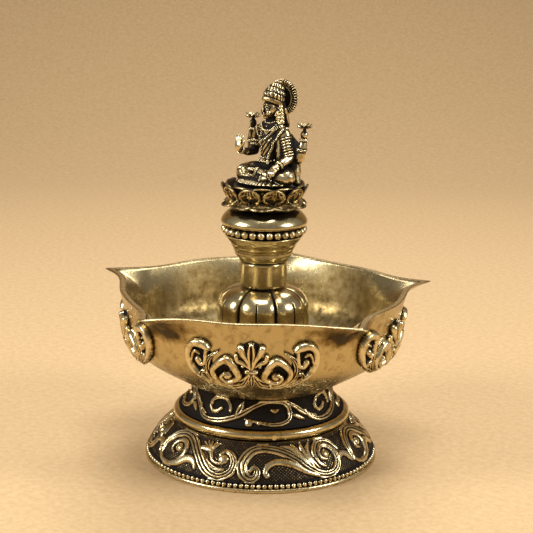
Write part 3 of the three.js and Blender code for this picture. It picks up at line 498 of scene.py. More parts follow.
def outward(path):
    """Unit normals of a profile, to the right of the way it runs."""
    way = np.gradient(path, axis=0)
    return np.stack([way[:, 1], -way[:, 0]], -1) / np.linalg.norm(way, axis=1)[:, None]


def from_spout(angle):
    """The angle to the nearest spout, in degrees."""
    step = 360 / SPOUTS
    degrees = np.degrees(angle) + 90
    return degrees - step * np.round(degrees / step)


def pinch(angle):
    """1 at a spout, dying away as exp(-angle / spread), with a rounded tip."""
    return np.exp(-(np.hypot(from_spout(angle), TIP_ROUND) - TIP_ROUND) / SPREAD)


# %% The bowl's surface
outside = even(bowl_wall(), 0.55)
inside = (outside - WALL * outward(outside))[::-1]
inside[0, 1] = RIM_HEIGHT
inside[-1, 1] = FLOOR_TOP
RIM_ROUND = 0.45
rim_top = np.array([[RIM_RADIUS - 0.1, RIM_HEIGHT - 0.15], [RIM_RADIUS - RIM_ROUND, RIM_HEIGHT],
                    [RIM_RADIUS - WALL + RIM_ROUND, RIM_HEIGHT], [inside[1, 0] + 0.05, RIM_HEIGHT - 0.3]])
floor_in = np.array([[r, FLOOR_TOP] for r in np.linspace(inside[-1, 0], BORE, 14)[1:]])
floor_under = np.array([[r, SEAT[1]] for r in np.linspace(BORE, SEAT[0], 12)[:-1]])
bowl_profile = np.vstack([outside[:-1], rim_top, inside[1:], floor_in, floor_under])
is_inner = np.zeros(len(bowl_profile))
is_inner[len(outside) + 1:] = 1

# The columns crowd toward the spouts, where the rim bends most.
BOWL_COLUMNS, CROWDING = SPOUTS * 96, 0.6
step = np.linspace(0, FULL_TURN, BOWL_COLUMNS, endpoint=False)
bowl_angle = step - CROWDING * np.sin(step * SPOUTS) / SPOUTS - np.pi / 2
radius, height = bowl_profile[:, 0][:, None], bowl_profile[:, 1][:, None]
rise = np.clip((height - RIM_HEIGHT + SPOUT_DEPTH) / SPOUT_DEPTH, 0, 1) ** 2.2
reach = SPOUT_REACH - SPOUT_LIP * is_inner[:, None]
near_spout = pinch(bowl_angle)[None, :]

# The hand that pinched the rim left it a little uneven, outward by the wave and upward by the dip.
HAND_WAVE, HAND_DIP = 0.22, 0.25
wave = HAND_WAVE * (np.sin(3 * bowl_angle + 1.0) + 0.6 * np.sin(7 * bowl_angle)) * (1 - near_spout)
bowl_radius = radius + (reach * near_spout + wave) * rise
dip = HAND_DIP * (np.sin(4 * bowl_angle) + np.sin(9 * bowl_angle + 2.0)) * rise
bowl_places = around(bowl_radius, height + dip - HAND_DIP * rise, bowl_angle[None, :])
bowl_faces = grid_quads(len(bowl_profile), BOWL_COLUMNS, wrap_rows=True)

piece("bowl", bowl_places.reshape(-1, 3), bowl_faces, "bowl", "satin_brass", satin, ["bowl"],
      rounds=20, depth=0.25)

# %% [markdown]
# ## The five cartouches
# Each cartouche is a small casting in wax-carved scrolls: two volutes at the foot, two wings above
# them and a palmette between, tied by a bar over a drop leaf. It is soldered on the wall half way
# between two spouts. One half is drawn and mirrored; it lies on the wall like a label, across by
# angle and up by the length of the wall's profile.

# %% The strokes of one half, in millimetres across and up
def stroke(places, sizes, tall=1.6, ridges=1, wide=1.0):
    """A stroke from its (across, up) places; `wide` turns degrees across into millimetres."""
    places = np.array(places, float)
    return widths(places * [wide, 1], sizes), tall, ridges


half_cartouche = [
    stroke([(0.4, 16.9), (1.6, 13.6), (3.2, 11.2), (6.5, 10.2), (10.5, 11.2), (13.4, 14.4), (14.7, 18.5),
            (13.6, 22.0), (10.6, 24.4)], [0.7, 0.9, 1.0, 1.1, 1.1, 1.0, 0.8, 0.3], 1.9, 3),
    stroke([(6.5, 11.9), (10.9, 13.5), (12.5, 18.0), (7.9, 21.9), (4.4, 17.2), (4.9, 14.7), (8.1, 13.4),
            (9.9, 15.6), (8.6, 17.2)], [0.5, 0.7, 0.9, 1.2, 0.9, 0.7, 0.6, 0.5], 2.3),
    ball(7.9, 16.0, 1.3, 2.3),
    stroke([(6.5, 18.5), (7.3, 20.2), (9.3, 20.6), (11.3, 18.8)], [0.4, 0.5, 0.5, 0.3], 1.5),
    stroke([(11.9, 11.4), (14.8, 13.0), (16.9, 15.0), (16.5, 16.9), (14.9, 16.8)],
           [0.7, 0.8, 0.7, 0.5, 0.6], 2.0, 2),
    stroke([(17.0, 14.8), (19.5, 17.3), (20.9, 21.2), (20.3, 25.0), (18.2, 26.6), (15.6, 26.3), (14.0, 25.4)],
           [0.5, 0.8, 0.9, 1.0, 1.1, 1.2, 0.8], 2.2, 1),
    stroke([(14.6, 24.8), (14.8, 22.3), (15.2, 20.2), (16.6, 19.6), (17.6, 21.0)],
           [0.5, 0.6, 0.7, 0.7, 0.9], 1.9),
    stroke([(17.0, 23.0), (18.4, 23.7), (19.6, 22.3), (20.1, 20.0)], [0.3, 0.5, 0.5, 0.4], 1.5),
    stroke([(19.3, 19.2), (19.1, 17.5), (18.0, 15.6), (17.2, 14.4)], [0.3, 0.7, 0.7, 0.3], 1.7),
    stroke([(0.3, 19.4), (1.3, 22.2), (2.6, 24.2), (3.4, 26.0)], [0.4, 0.7, 0.9, 1.0], 2.2),
    stroke([(0.5, 19.6), (2.6, 21.0), (4.4, 21.8), (4.8, 23.2)], [0.4, 0.6, 0.7, 0.7], 1.8),
    stroke([(0.6, 17.0), (2.2, 15.0), (4.3, 13.6)], [0.5, 0.6, 0.4], 1.5),
    ball(2.7, 20.2, 0.6, 2.2),
]
middle = [
    stroke([(0, 19.4), (0, 22.0), (0, 24.4), (0, 27.2)], [0.5, 1.0, 1.6, 0.9], 2.4, 2),
    stroke([(-1.5, 18.3), (1.5, 18.3)], [0.75, 0.75], 2.4),
    stroke([(0, 17.6), (0, 14.0), (0, 10.6)], [0.8, 1.3, 0.3], 2.1, 3),
]
plate_strokes = [
    stroke([(7.9, 16.6), (8.3, 16.8)], [5.4, 5.4], 1.0, 0),
    stroke([(17.2, 20.4), (17.4, 21.6)], [4.2, 4.4], 1.0, 0),
    stroke([(0, 14.0), (0, 24.6)], [2.6, 3.6], 1.0, 0),
    stroke([(12.6, 13.8), (15.2, 16.6)], [2.0, 2.6], 1.0, 0),
    stroke([(3.2, 12.4), (3.4, 17.0)], [1.8, 3.0], 1.0, 0),
]

# %% The cartouche as a relief on a sunk plate
CARTOUCHE_STEP, PLATE, SUNK = 0.2, 0.55, -0.9
SCROLL_SWELL, PALMETTE_SWELL = 1.32, 1.2
u_line = np.arange(-22.2, 22.2 + 0.01, CARTOUCHE_STEP)
v_line = np.arange(8.6, 29.2, CARTOUCHE_STEP)
u, v = np.meshgrid(u_line, v_line)
carved = np.maximum(relief(np.abs(u), v, bolder(half_cartouche, SCROLL_SWELL)),
                    relief(u, v, bolder(middle, PALMETTE_SWELL)))
plate = relief(np.abs(u), v, plate_strokes) > 0
cover = np.maximum(carved > 0.12, plate)
cartouche_height = np.where(cover, np.maximum(carved, np.where(plate, PLATE, 0.0)), SUNK)
keep = cover.copy()
for shift in ((0, 1), (0, -1), (1, 0), (-1, 0)):
    keep |= np.roll(cover, shift, (0, 1))

face_line = even(bowl_wall(), 0.1)
face_out = outward(face_line)
RELIEF_V = [0, 4.42, 9.03, 15.15, 20.4, 23.5, 26.3, 30.0]
RELIEF_R = [37.4, 40.9, 43.9, 46.6, 47.4, 47.6, 47.4, 47.3]
RELIEF_Z = [27.5, 30.2, 33.7, 39.2, 44.4, 47.5, 50.3, 54.0]
seen = np.stack([np.interp(v_line, RELIEF_V, RELIEF_R), np.interp(v_line, RELIEF_V, RELIEF_Z)], -1)
nearest = np.argmin(np.linalg.norm(seen[:, None] - face_line[None], axis=2), axis=1)
wall_at, wall_out = soften(face_line[nearest], 6), face_out[nearest]
print("relief over the wall", np.round(np.linalg.norm(seen - wall_at, axis=1)[::15], 2))


def on_wall(u, row_places, row_normals, height, turn):
    """Places on the bowl's wall at an angle across, moved out along the wall's normal."""
    angle = u / RIM_RADIUS + turn
    radius = row_places[:, None, 0] + row_normals[:, None, 0] * height
    level = row_places[:, None, 1] + row_normals[:, None, 1] * height
    return around(radius, level, angle)


all_quads = grid_quads(len(v_line), len(u_line), wrap_columns=False)
kept = all_quads[keep.ravel()[all_quads].all(1)]
inside_count = np.bincount(kept.ravel(), minlength=keep.size)
is_edge = inside_count < 4
under = np.where(is_edge, np.arange(keep.size), np.arange(keep.size) + keep.size)
cartouche_faces = np.vstack([kept, under[kept][:, ::-1]])
names = ["front", "right", "back_right", "back_left", "left"]
for number, name in enumerate(names):
    turn = np.radians(-90 + 360 * (number + 0.5) / SPOUTS)
    top = on_wall(u, wall_at, wall_out, cartouche_height, turn)
    bottom = on_wall(u, wall_at, wall_out, np.full(u.shape, SUNK), turn)
    places = np.vstack([top.reshape(-1, 3), bottom.reshape(-1, 3)])
    used = np.unique(cartouche_faces)
    number_of = np.zeros(len(places), int)
    number_of[used] = np.arange(len(used))
    dark = np.where(carved > 0.35, 0.0, 0.95).ravel()
    piece(f"cartouche_{name}", places[used], number_of[cartouche_faces], "bowl", "antique_brass", antique,
          [f"cartouche_{name}"], rounds=8, depth=0.16, black=np.concatenate([dark, dark])[used])

# %% [markdown]
# ## The foot skirt
# The skirt is a heavy ring casting with scrolls that repeat three times round it, over a ground
# punched with small diamonds. A row of beads runs along its hem. The scrolls are drawn in degrees
# round and millimetres up the slope, for one of the three repeats.

# %% Strokes of one repeat on the skirt
SKIRT_MM = 0.6
skirt_strokes = [
    stroke([(-113, 3.2), (-113.5, 7), (-110, 11), (-104, 13), (-98, 12.9), (-92, 11), (-86, 7.6),
            (-81, 4.2), (-76, 1.9), (-70.5, 1.3), (-65.5, 3.2), (-64, 6.4), (-66, 9.2), (-69.5, 10.2),
            (-72.8, 8.9)],
           [0.8, 1.3, 1.5, 1.5, 1.5, 1.5, 1.4, 1.2, 1.1, 0.8, 0.5], 1.0, 3, SKIRT_MM),
    ball(-70.6 * SKIRT_MM, 7.6, 1.55, 0.9),
    stroke([(-97.5, 3.6), (-95.3, 6.3), (-96.5, 9.2), (-101, 10.4), (-105.2, 8.8), (-105.5, 6.2),
            (-103, 5.2)], [0.5, 0.8, 0.8, 0.7, 0.5, 0.4], 0.9, 1, SKIRT_MM),
    ball(-101.2 * SKIRT_MM, 7.5, 1.3, 0.9),
    stroke([(-113, 3.2), (-109, 1.4), (-103, 1.2), (-98, 2.4), (-93.5, 4.6), (-89, 5), (-86.2, 3.8),
            (-85.2, 2.4)], [0.5, 0.8, 1.0, 1.2, 1.2, 0.8, 0.4], 0.9, 1, SKIRT_MM),
    stroke([(-84, 8.3), (-79, 5.2), (-74, 3.6), (-69, 3.9)], [0.4, 0.9, 0.9, 0.4], 0.7, 3, SKIRT_MM),
    stroke([(-85.5, 10.2), (-80.5, 10), (-78.5, 8.6), (-76.5, 6.6), (-73.5, 5.7), (-70.5, 5.9)],
           [0.8, 0.8, 0.5, 0.45, 0.4], 0.8, 1, SKIRT_MM),
    stroke([(-55.2, 4.3), (-53.3, 5.4), (-51.6, 4.2), (-52.4, 2.2), (-55, 1.4), (-58.2, 2.8), (-59.7, 5.8),
            (-58.2, 9), (-54, 11.6), (-48, 12.3), (-41, 11.6), (-35, 10), (-30, 7.8), (-25, 4.6), (-20, 2.2),
            (-14.5, 1.1), (-9, 1.9), (-5.6, 4.6), (-5.4, 8), (-8, 10.6), (-12, 11.2), (-15.4, 9.6),
            (-15.2, 7), (-12.6, 6.1)],
           [0.5, 0.9, 1.4, 1.7, 1.5, 1.4, 1.4, 1.3, 1.1, 0.9, 0.7, 0.4], 1.0, 3, SKIRT_MM),
    ball(-11.6 * SKIRT_MM, 8.2, 1.3, 0.9),
    stroke([(-46.8, 2.4), (-47.6, 3.9), (-45.6, 6.2), (-41, 7.4), (-36, 6.9), (-31, 5.6), (-26, 3.4),
            (-20, 1.3)], [0.5, 0.7, 1.0, 1.1, 0.9, 0.5], 0.9, 1, SKIRT_MM),
    ball(-46.6 * SKIRT_MM, 2.9, 0.8, 0.9),
    stroke([(-2, 8.6), (-5, 12), (-10, 13.4), (-15, 12.6), (-18.6, 9.4), (-17.8, 5.8), (-14.2, 3.8)],
           [0.4, 0.8, 0.9, 0.8, 0.6, 0.3], 0.85, 2, SKIRT_MM),
    stroke([(-4, 5.4), (-0.5, 6.4), (2.5, 5.6), (4.6, 3.2)], [0.5, 0.9, 0.9, 0.4], 0.8, 1, SKIRT_MM),
]
for tip in [(-86, 12.4), (-83.5, 13), (-81, 13.2), (-78, 13.3), (-75.5, 13)]:
    skirt_strokes.append(stroke([(-79, 9.6), tip], [0.45, 0.4], 0.7, 1, SKIRT_MM))
for leaf in [[(-38, 12.9), (-33, 12.2), (-29, 9.6), (-25, 5.8)],
             [(-31, 13.4), (-29, 11.2), (-26, 8), (-22.8, 4.6)],
             [(-25, 13.7), (-25, 10.8), (-23.4, 7.4), (-20.6, 4)],
             [(-19, 13.8), (-22, 11), (-21.8, 7.6), (-18.6, 3.9)]]:
    skirt_strokes.append(stroke(leaf, [0.3, 0.8, 0.7, 0.3], 0.8, 1, SKIRT_MM))


def repeated(u, v, strokes, period):
    """The relief of strokes that run on from one repeat into the next."""
    moved = [(path + [shift, 0, 0], tall, ridges) for path, tall, ridges in strokes
             for shift in (-period, 0, period)]
    return relief(u, v, moved)


STROKE_SWELL = 1.22
DIAMOND = 1.1


def carved_band(profile, strokes, first, repeats, columns, wide, depth, punch=0.0):
    """Rows of places for a band carved round a turned profile. The ground lies `depth` under the
    profile, and the relief brings it back up. The ground's diamonds are the product of two cosines,
    `punch` high. Returns the places, the relief and the columns' angles."""
    degrees = first + np.arange(columns // repeats) * 360 / columns
    length = np.concatenate([[0], np.cumsum(np.linalg.norm(np.diff(profile, axis=0), axis=1))])
    u, v = np.meshgrid(degrees * wide, length)
    height = repeated(u, v, bolder(strokes, STROKE_SWELL), 360 / repeats * wide)
    diamonds = np.cos(FULL_TURN * u / DIAMOND) * np.cos(FULL_TURN * v / DIAMOND)
    height = np.tile(np.maximum(height, punch * (0.5 + 0.5 * diamonds)), (1, repeats))
    angle = np.radians(first + np.arange(columns) * 360 / columns)
    edge = smoothstep(0, 0.5, length) * smoothstep(length[-1], length[-1] - 0.5, length)
    drop = (height - depth) * edge[:, None]
    normal = outward(profile)
    places = around(profile[:, None, 0] + normal[:, None, 0] * drop,
                    profile[:, None, 1] + normal[:, None, 1] * drop, angle[None, :])
    return places, height, angle


# %% The skirt's surface and its beads
BAND_STEP, SKIRT_COLUMNS = 0.25, 900
skirt_line = even([(38.5, 3.1), (38.2, 4.4), (34.9, 9.2), (31, 12.8), (29.5, 13.6)], BAND_STEP)
skirt_profile = even(soften(skirt_line, 12), BAND_STEP)
skirt_band, skirt_height, skirt_angle = carved_band(
    skirt_profile, skirt_strokes, -113, 3, SKIRT_COLUMNS, SKIRT_MM, 1.0, 0.22)
hem = np.array([(36.0, 0.0), (38.9, 0.0), (39.2, 0.3), (39.2, 1.0), (38.9, 1.3), (37.9, 1.35), (37.5, 1.8),
                (37.5, 2.6), (37.9, 3.05)])
within = np.array([(29.0, 13.7), (24.0, 13.7), (23.2, 13.2), (23.2, 11.9), (23.8, 11.5), (27.6, 11.2),
                   (30.6, 9.4), (33.6, 5.8), (35.6, 2.2)])
skirt_places = np.vstack([rows_round(hem, skirt_angle), skirt_band, rows_round(within, skirt_angle)])
ground = 0.85 * (1 - smoothstep(0.06, 0.24, skirt_height))
skirt_black = np.zeros(skirt_places.shape[:2])
skirt_black[len(hem):len(hem) + len(skirt_band)] = ground
skirt_black[len(hem) - 4:len(hem) + 1] = 0.9
skirt_black[len(hem) + len(skirt_band) + 1:] = 0.7
piece("foot_skirt", skirt_places.reshape(-1, 3), grid_quads(len(skirt_places), SKIRT_COLUMNS, wrap_rows=True),
      "foot", "antique_brass", antique, ["foot_skirt"], rounds=10, depth=0.13, black=skirt_black.ravel())


def bead_places(centres, radii, rows=6, columns=8):
    """Low balls at the centres given: a shape that is repeated this often needs few faces."""
    up_angle = np.linspace(-np.pi / 2, np.pi / 2, rows + 1)
    unit = around(np.cos(up_angle)[:, None], np.sin(up_angle)[:, None], turns(columns)).reshape(-1, 3)
    centres = np.asarray(centres, float)
    radii = np.broadcast_to(radii, len(centres))
    places = centres[:, None] + unit[None] * radii[:, None, None]
    quads = grid_quads(rows + 1, columns)
    faces = quads[None] + (np.arange(len(centres)) * len(unit))[:, None, None]
    return places.reshape(-1, 3), faces.reshape(-1, 4)


HEM_BEADS = 128
hem_beads = bead_places(around(38.2, 2.15, turns(HEM_BEADS)), 0.84)
piece("foot_beads", *hem_beads, "foot", "antique_brass", antique, rounds=1, depth=9.0)


# %% [markdown]
# ## The plain turned pieces
# The ring, the washer, the neck, the capital and the cushion are lathe work: one profile carried round
# the axis. Corners are rounded a little, because a mop rounds every edge it touches.

# %% Turned pieces
def turned(name, profile, body, slot, finish, nodes, columns=160, step=0.3, rounding=3, rounds=10, depth=0.2):
    """A closed profile of (radius, height) points, going anticlockwise, carried round the Z axis."""
    profile = np.vstack([profile, profile[:1]])
    line = soften(even(profile, step), rounding)[:-1]
    return piece(name, *revolved(line, columns), body, slot, finish, nodes, rounds, depth)


bow = np.linspace(-np.pi / 2, np.pi / 2, 16)
half_round = np.stack([28.15 + 1.65 * np.cos(bow), 15.65 + 1.62 * np.sin(bow)], -1)
ring_profile = np.vstack([[(25.5, 14.05)], half_round, [(25.5, 17.25)]])
turned("foot_ring", ring_profile, "foot", "polished_brass", polished, ["foot_ring"], 240)
turned("column_seal", [(13.5, 28.42), (16.7, 28.42), (16.8, 29.0), (16.7, 29.58), (13.5, 29.58)],
       "seal", "seal_rubber", rubber, ["column_seal"], 128, 0.2)
turned("neck", [(3.4, 58.95), (7.7, 58.95), (7.85, 59.3), (7.8, 60.0), (7.8, 66.2), (7.9, 66.9), (7.8, 67.15),
       (3.4, 67.15)], "column", "polished_brass", polished, ["neck"])
turned("capital", [(3.4, 67.55), (7.9, 67.55), (8.3, 67.9), (8.3, 68.5), (8.9, 69.0), (9.5, 69.6),
       (9.75, 70.0), (9.6, 70.7), (9.7, 71.0), (10.2, 71.3), (10.25, 72.1), (10.9, 72.8), (11.0, 73.7),
       (11.7, 74.2), (12.3, 75.1), (12.9, 75.8), (12.95, 76.35), (3.4, 76.45)], "column",
       "polished_brass", polished, ["capital"], 160, 0.2, 2, 8, 0.14)
turned("cushion", [(3.4, 79.6), (13.6, 79.6), (14.2, 79.9), (14.4, 80.6), (14.1, 81.6), (13.2, 82.9),
       (12.0, 84.0), (10.8, 84.6), (1.8, 84.7)], "column", "polished_brass", polished,
       ["cushion"], 160, 0.3, 4)

BEADS = 30
band_profile = [(3.4, 76.85), (12.6, 76.85), (12.7, 78.0), (12.6, 79.2), (3.4, 79.2)]
band_line = even(np.vstack([band_profile, band_profile[:1]]), 0.3)[:-1]
band_mesh = revolved(band_line, 160)
ring_beads = bead_places(around(13.05, 78.02, turns(BEADS, 6)), 1.2, 10, 16)
bead_black = np.concatenate([np.full(len(band_mesh[0]), 0.95), np.zeros(len(ring_beads[0]))])
piece("bead_ring", *merged([band_mesh, ring_beads]), "column", "antique_brass", antique, ["bead_ring"],
      rounds=1, depth=9.0, black=bead_black)

# %% [markdown]
# ## The pedestal
# The pedestal is carved with one vine that runs round it four times, on a ground left fully black.

# %% Strokes of one repeat on the pedestal
PEDESTAL_MM = 0.45
vine = [
    stroke([(-104, 5.5), (-101, 3.4), (-95, 1.9), (-88, 1.6), (-80, 2.1), (-70, 3.8), (-62, 5.8), (-55, 7.6),
            (-47, 9), (-40, 9.2), (-32, 8.6), (-27.5, 6.4), (-28.5, 3.6), (-34, 2.1), (-42, 1.8), (-50, 2.4),
            (-62, 3.4)], [0.4, 0.7, 0.9, 0.9, 0.8, 0.8, 0.8, 0.7, 0.6, 0.3], 1.1, 2, PEDESTAL_MM),
    stroke([(-42, 6.4), (-39.5, 6), (-37, 6.4)], [0.4, 0.6, 0.4], 1.0, 1, PEDESTAL_MM),
    stroke([(-93, 5.5), (-92, 7.6), (-87, 9), (-80, 9.2), (-75.5, 7.6), (-74.5, 5.6)],
           [0.5, 0.6, 0.5], 1.0, 2, PEDESTAL_MM),
    stroke([(-92.6, 5.6), (-90, 4.6), (-85.5, 4.9), (-82.5, 5.8)], [0.4, 0.6, 0.5], 1.0, 1, PEDESTAL_MM),
    stroke([(-69, 4.4), (-66.5, 6.4), (-64.4, 8.6)], [0.5, 1.2, 0.3], 1.0, 2, PEDESTAL_MM),
    ball(-59 * PEDESTAL_MM, 2.4, 1.15, 1.0), ball(-51.7 * PEDESTAL_MM, 2.2, 0.55, 1.1),
    stroke([(-24.5, 4.6), (-21, 3.9), (-17, 2.8)], [0.4, 0.7, 0.3], 0.9, 1, PEDESTAL_MM),
    stroke([(-30, 9.0), (-22, 7), (-14, 4.6), (-6, 3.1)], [0.5, 0.7, 0.7, 0.5], 1.0, 2, PEDESTAL_MM),
]
PEDESTAL_COLUMNS = 720
pedestal_line = even([(27.9, 17.65), (26.6, 19.0), (24.6, 22.0), (23.7, 25.8)], BAND_STEP)
pedestal_profile = even(soften(pedestal_line, 10), BAND_STEP)
vine_band, vine_height, vine_angle = carved_band(
    pedestal_profile, vine, -104, 4, PEDESTAL_COLUMNS, PEDESTAL_MM, 1.1)
collar = np.array([(23.1, 14.05), (25.0, 14.05), (25.1, 14.5), (25.1, 17.3), (25.4, 17.6)])
top_and_bore = np.array([(23.0, 26.0), (3.4, 26.0), (3.4, 23.9), (20.6, 23.8), (22.0, 20.6), (23.0, 17.4)])
pedestal_places = np.vstack([
    rows_round(collar, vine_angle), vine_band, rows_round(top_and_bore, vine_angle)])
pedestal_black = np.full(pedestal_places.shape[:2], 0.8)
pedestal_black[len(collar):len(collar) + len(vine_band)] = 0.95 * (1 - smoothstep(0.1, 0.5, vine_height))
pedestal_black[len(collar):len(collar) + 3] = 0.1
pedestal_faces = grid_quads(len(pedestal_places), PEDESTAL_COLUMNS, wrap_rows=True)
piece("pedestal", pedestal_places.reshape(-1, 3), pedestal_faces, "foot", "antique_brass", antique,
      ["pedestal"], rounds=8, depth=0.14, black=pedestal_black.ravel())

# %% [markdown]
# ## The petalled bell
# Seven petals stand round the foot of the column like a closed flower. Black grooves part them, and a
# thin slit runs up the middle of each.

# %% The bell
PETALS, PETAL_AT = 7, -58.0
bell_wall = [(3.4, 29.95), (16.6, 29.95), (16.8, 30.3), (16.2, 36.0), (15.6, 42.0), (15.45, 47.0),
             (15.4, 51.0)]
bow = np.radians(np.linspace(0, 90, 14))
shoulder = np.stack([7.4 + 8.0 * np.cos(bow), 51.6 + 6.8 * np.sin(bow)], -1)
bell_profile = soften(even(np.vstack([bell_wall, shoulder, [(3.4, 58.5)]]), 0.3), 3)
BELL_COLUMNS = PETALS * 80
bell_angle = turns(BELL_COLUMNS)
petal_step = 360 / PETALS
off = np.degrees(bell_angle) - PETAL_AT
off = off - petal_step * np.round(off / petal_step)
share = np.abs(off) / (petal_step / 2)
r, z = bell_profile[:, 0][:, None], bell_profile[:, 1][:, None]
outer = smoothstep(6.9, 8.6, r) * smoothstep(29.9, 31.0, z)
arc = np.abs(np.radians(off))[None, :] * r
groove_gap = (1 - share)[None, :] * np.radians(petal_step / 2) * r
bulge = 1.1 * share[None, :] ** 3.5 + 1.0 * np.exp(-(groove_gap / 0.42)**2)
slit = 0.9 * np.exp(-(arc / 0.2)**2) * smoothstep(55.6, 54.0, z)
bell_radius = r - outer * (bulge + slit)
bell_places = around(bell_radius, np.broadcast_to(z, bell_radius.shape), bell_angle[None, :])
bell_black = outer * np.maximum(np.exp(-(groove_gap / 0.5)**2),
                                np.exp(-(arc / 0.3)**2) * smoothstep(56, 54.6, z))
piece("petal_bell", bell_places.reshape(-1, 3), grid_quads(len(bell_profile), BELL_COLUMNS, wrap_rows=True),
      "column", "polished_brass", polished, ["petal_bell"], rounds=6, depth=0.3, black=bell_black.ravel())

# %% [markdown]
# ## The stud
# The stud that holds the lamp together is seen only when the column is screwed out. Its thread is a
# ridge that climbs one pitch for each turn.

# %% The stud's thread
PITCH, STUD_LOW, STUD_HIGH = 1.5, 8.52, 82.0
rows = np.linspace(STUD_LOW, STUD_HIGH, 490)
stud_angle = turns(24)
climb = rows[:, None] / PITCH - stud_angle[None, :] / FULL_TURN
ridge = np.abs(2 * (climb - np.floor(climb)) - 1)
ends = smoothstep(STUD_LOW, STUD_LOW + 1, rows) * smoothstep(STUD_HIGH, STUD_HIGH - 1, rows)
stud_radius = 2.55 + 0.42 * smoothstep(0.15, 0.85, ridge) * ends[:, None]
stud_places = around(stud_radius, rows[:, None], stud_angle[None, :])
stud_places = np.vstack([around(np.zeros((1, 24)), STUD_LOW, stud_angle[None]), stud_places,
                         around(np.zeros((1, 24)), STUD_HIGH, stud_angle[None])])
piece("column_stud", stud_places.reshape(-1, 3), grid_quads(len(stud_places), 24), "column", "satin_brass",
      satin, ["column_stud"], rounds=2, depth=0.4)

# %% [markdown]
# ## The lotus throne
# Three rows of petals grow from one small drum. Each petal is an oval shell with a thick rolled rim and
# fine ribs on its face. The lowest row hangs out and down, and the two upper rows stand up like cupped
# hands, set half a step apart, so that their rims hide the drum.


# %% Lotus petals
def petal(path, half, roll, thick, ribs, rib_depth, at, cup=0.06, rows=15, columns=44, shade=0.95):
    """An oval shell laid on a (radius, height) path. A place is given by its share out from the oval's
    middle and its angle round it. The rim is a half round of height `roll`, the ribs are cosines across
    the face, and the sides bend in by `cup` times the square of the distance across. Returns places,
    faces and how black each place is: `shade` between the ribs, near the path's start."""
    back_rows = [0.96, 0.85, 0.6, 0.3, 0]
    out = np.concatenate([np.linspace(0, 0.7, 5), np.linspace(0.76, 1, rows - 5), back_rows])[:, None]
    front = (np.arange(len(out)) < rows)[:, None]
    angle = turns(columns)[None, :]
    a, b = out * np.cos(angle), out * np.sin(angle)
    line = spline(path, 8)
    normal = outward(line)
    t = (0.5 + 0.5 * b) * (len(line) - 1)
    index = np.arange(len(line))
    r, z, normal_r, normal_z = (np.interp(t, index, values) for values in (*line.T, *normal.T))
    x = half * a * (1 - 0.12 * np.clip(b, 0, 1)**2)
    rim = np.sqrt(np.clip(1 - ((out - 0.88) / 0.12)**2, 0, 1))
    face = 1 - smoothstep(0.7, 0.8, out)
    rib = 0.5 + 0.5 * np.cos(ribs * np.pi * a / np.sqrt(1.05 - b**2))
    ribbed = roll * rim + rib_depth * rib * face * smoothstep(0.05, 0.3, out)
    lift = np.where(front, ribbed, -thick * np.sqrt(1 - out**2)) - cup * x**2
    radius, level = r + normal_r * lift, z + normal_z * lift
    turn = np.radians(at)
    places = np.stack([radius * np.cos(turn) - x * np.sin(turn),
                       radius * np.sin(turn) + x * np.cos(turn), level], -1)
    between_ribs = shade * face * (1 - 1.1 * rib) * smoothstep(0.3, -0.5, b)
    at_start = 0.85 * shade * smoothstep(-0.6, -0.9, b)
    dark = np.where(front, np.maximum(between_ribs, at_start), 0.45) + 0 * a
    return places.reshape(-1, 3), grid_quads(len(out), columns), dark.ravel()


def ring_of_petals(first, *shape, count=10, **more):
    """Petals of one shape, evenly spaced round the axis from `first` degrees."""
    return [petal(*shape, first + 360 / count * k, **more) for k in range(count)]


upper_path = [(10.3, 88.3), (11.9, 88.9), (12.9, 90.2), (13.6, 91.8), (14.1, 93.3)]
inner_path = [(9.3, 89.6), (10.8, 90.4), (11.8, 91.6), (12.5, 92.8), (13.1, 93.5)]
lower_path = [(14.15, 86.0), (13.7, 87.0), (12.6, 87.9), (11.2, 88.6), (9.9, 88.9)]
rows_of_petals = [
    *ring_of_petals(-72, upper_path, 4.0, 0.5, 0.45, 7, 0.34, cup=0.03),
    *ring_of_petals(-90, inner_path, 3.9, 0.45, 0.4, 7, 0.25, cup=0.04),
    *ring_of_petals(-90, lower_path, 4.3, 0.36, 0.5, 11, 0.16, cup=0.07, shade=0.5),
]
core_line = even(np.array([(1.8, 85.1), (10.2, 85.1), (10.6, 86.6), (9.8, 88.6), (10.4, 91.6), (10.2, 92.55),
                           (1.8, 92.6), (1.8, 85.1)]), 0.3)[:-1]
core = revolved(core_line, 120)
throne_black = np.concatenate([dark for _, _, dark in rows_of_petals] + [np.full(len(core[0]), 0.8)])
throne = merged([shape[:2] for shape in rows_of_petals] + [core])
piece("lotus_throne", *throne, "column", "antique_brass", antique, ["lotus_throne"],
      rounds=3, depth=0.2, black=throne_black)

# %% [markdown]
# ## The goddess
# The figure takes the most skill. She was modelled in wax from rolled limbs and balls pressed together,
# and she is built the same way here: limbs and balls are laid over each other, then fused into one
# skin. Her clothes are pressed into the skin as pleats, and her ornaments are laid on afterwards, bead
# by bead, as a wax worker does.

# %% Limbs, balls and the fused skin
SEAT_LEVEL = 92.94


def frames_along(line):
    """Unit vectors along a path and two across it."""
    way = np.gradient(line, axis=0)
    way /= np.linalg.norm(way, axis=1)[:, None]
    across = np.cross(way, [0.31, 0.87, 0.38])
    across /= np.linalg.norm(across, axis=1)[:, None]
    return way, across, np.cross(way, across)


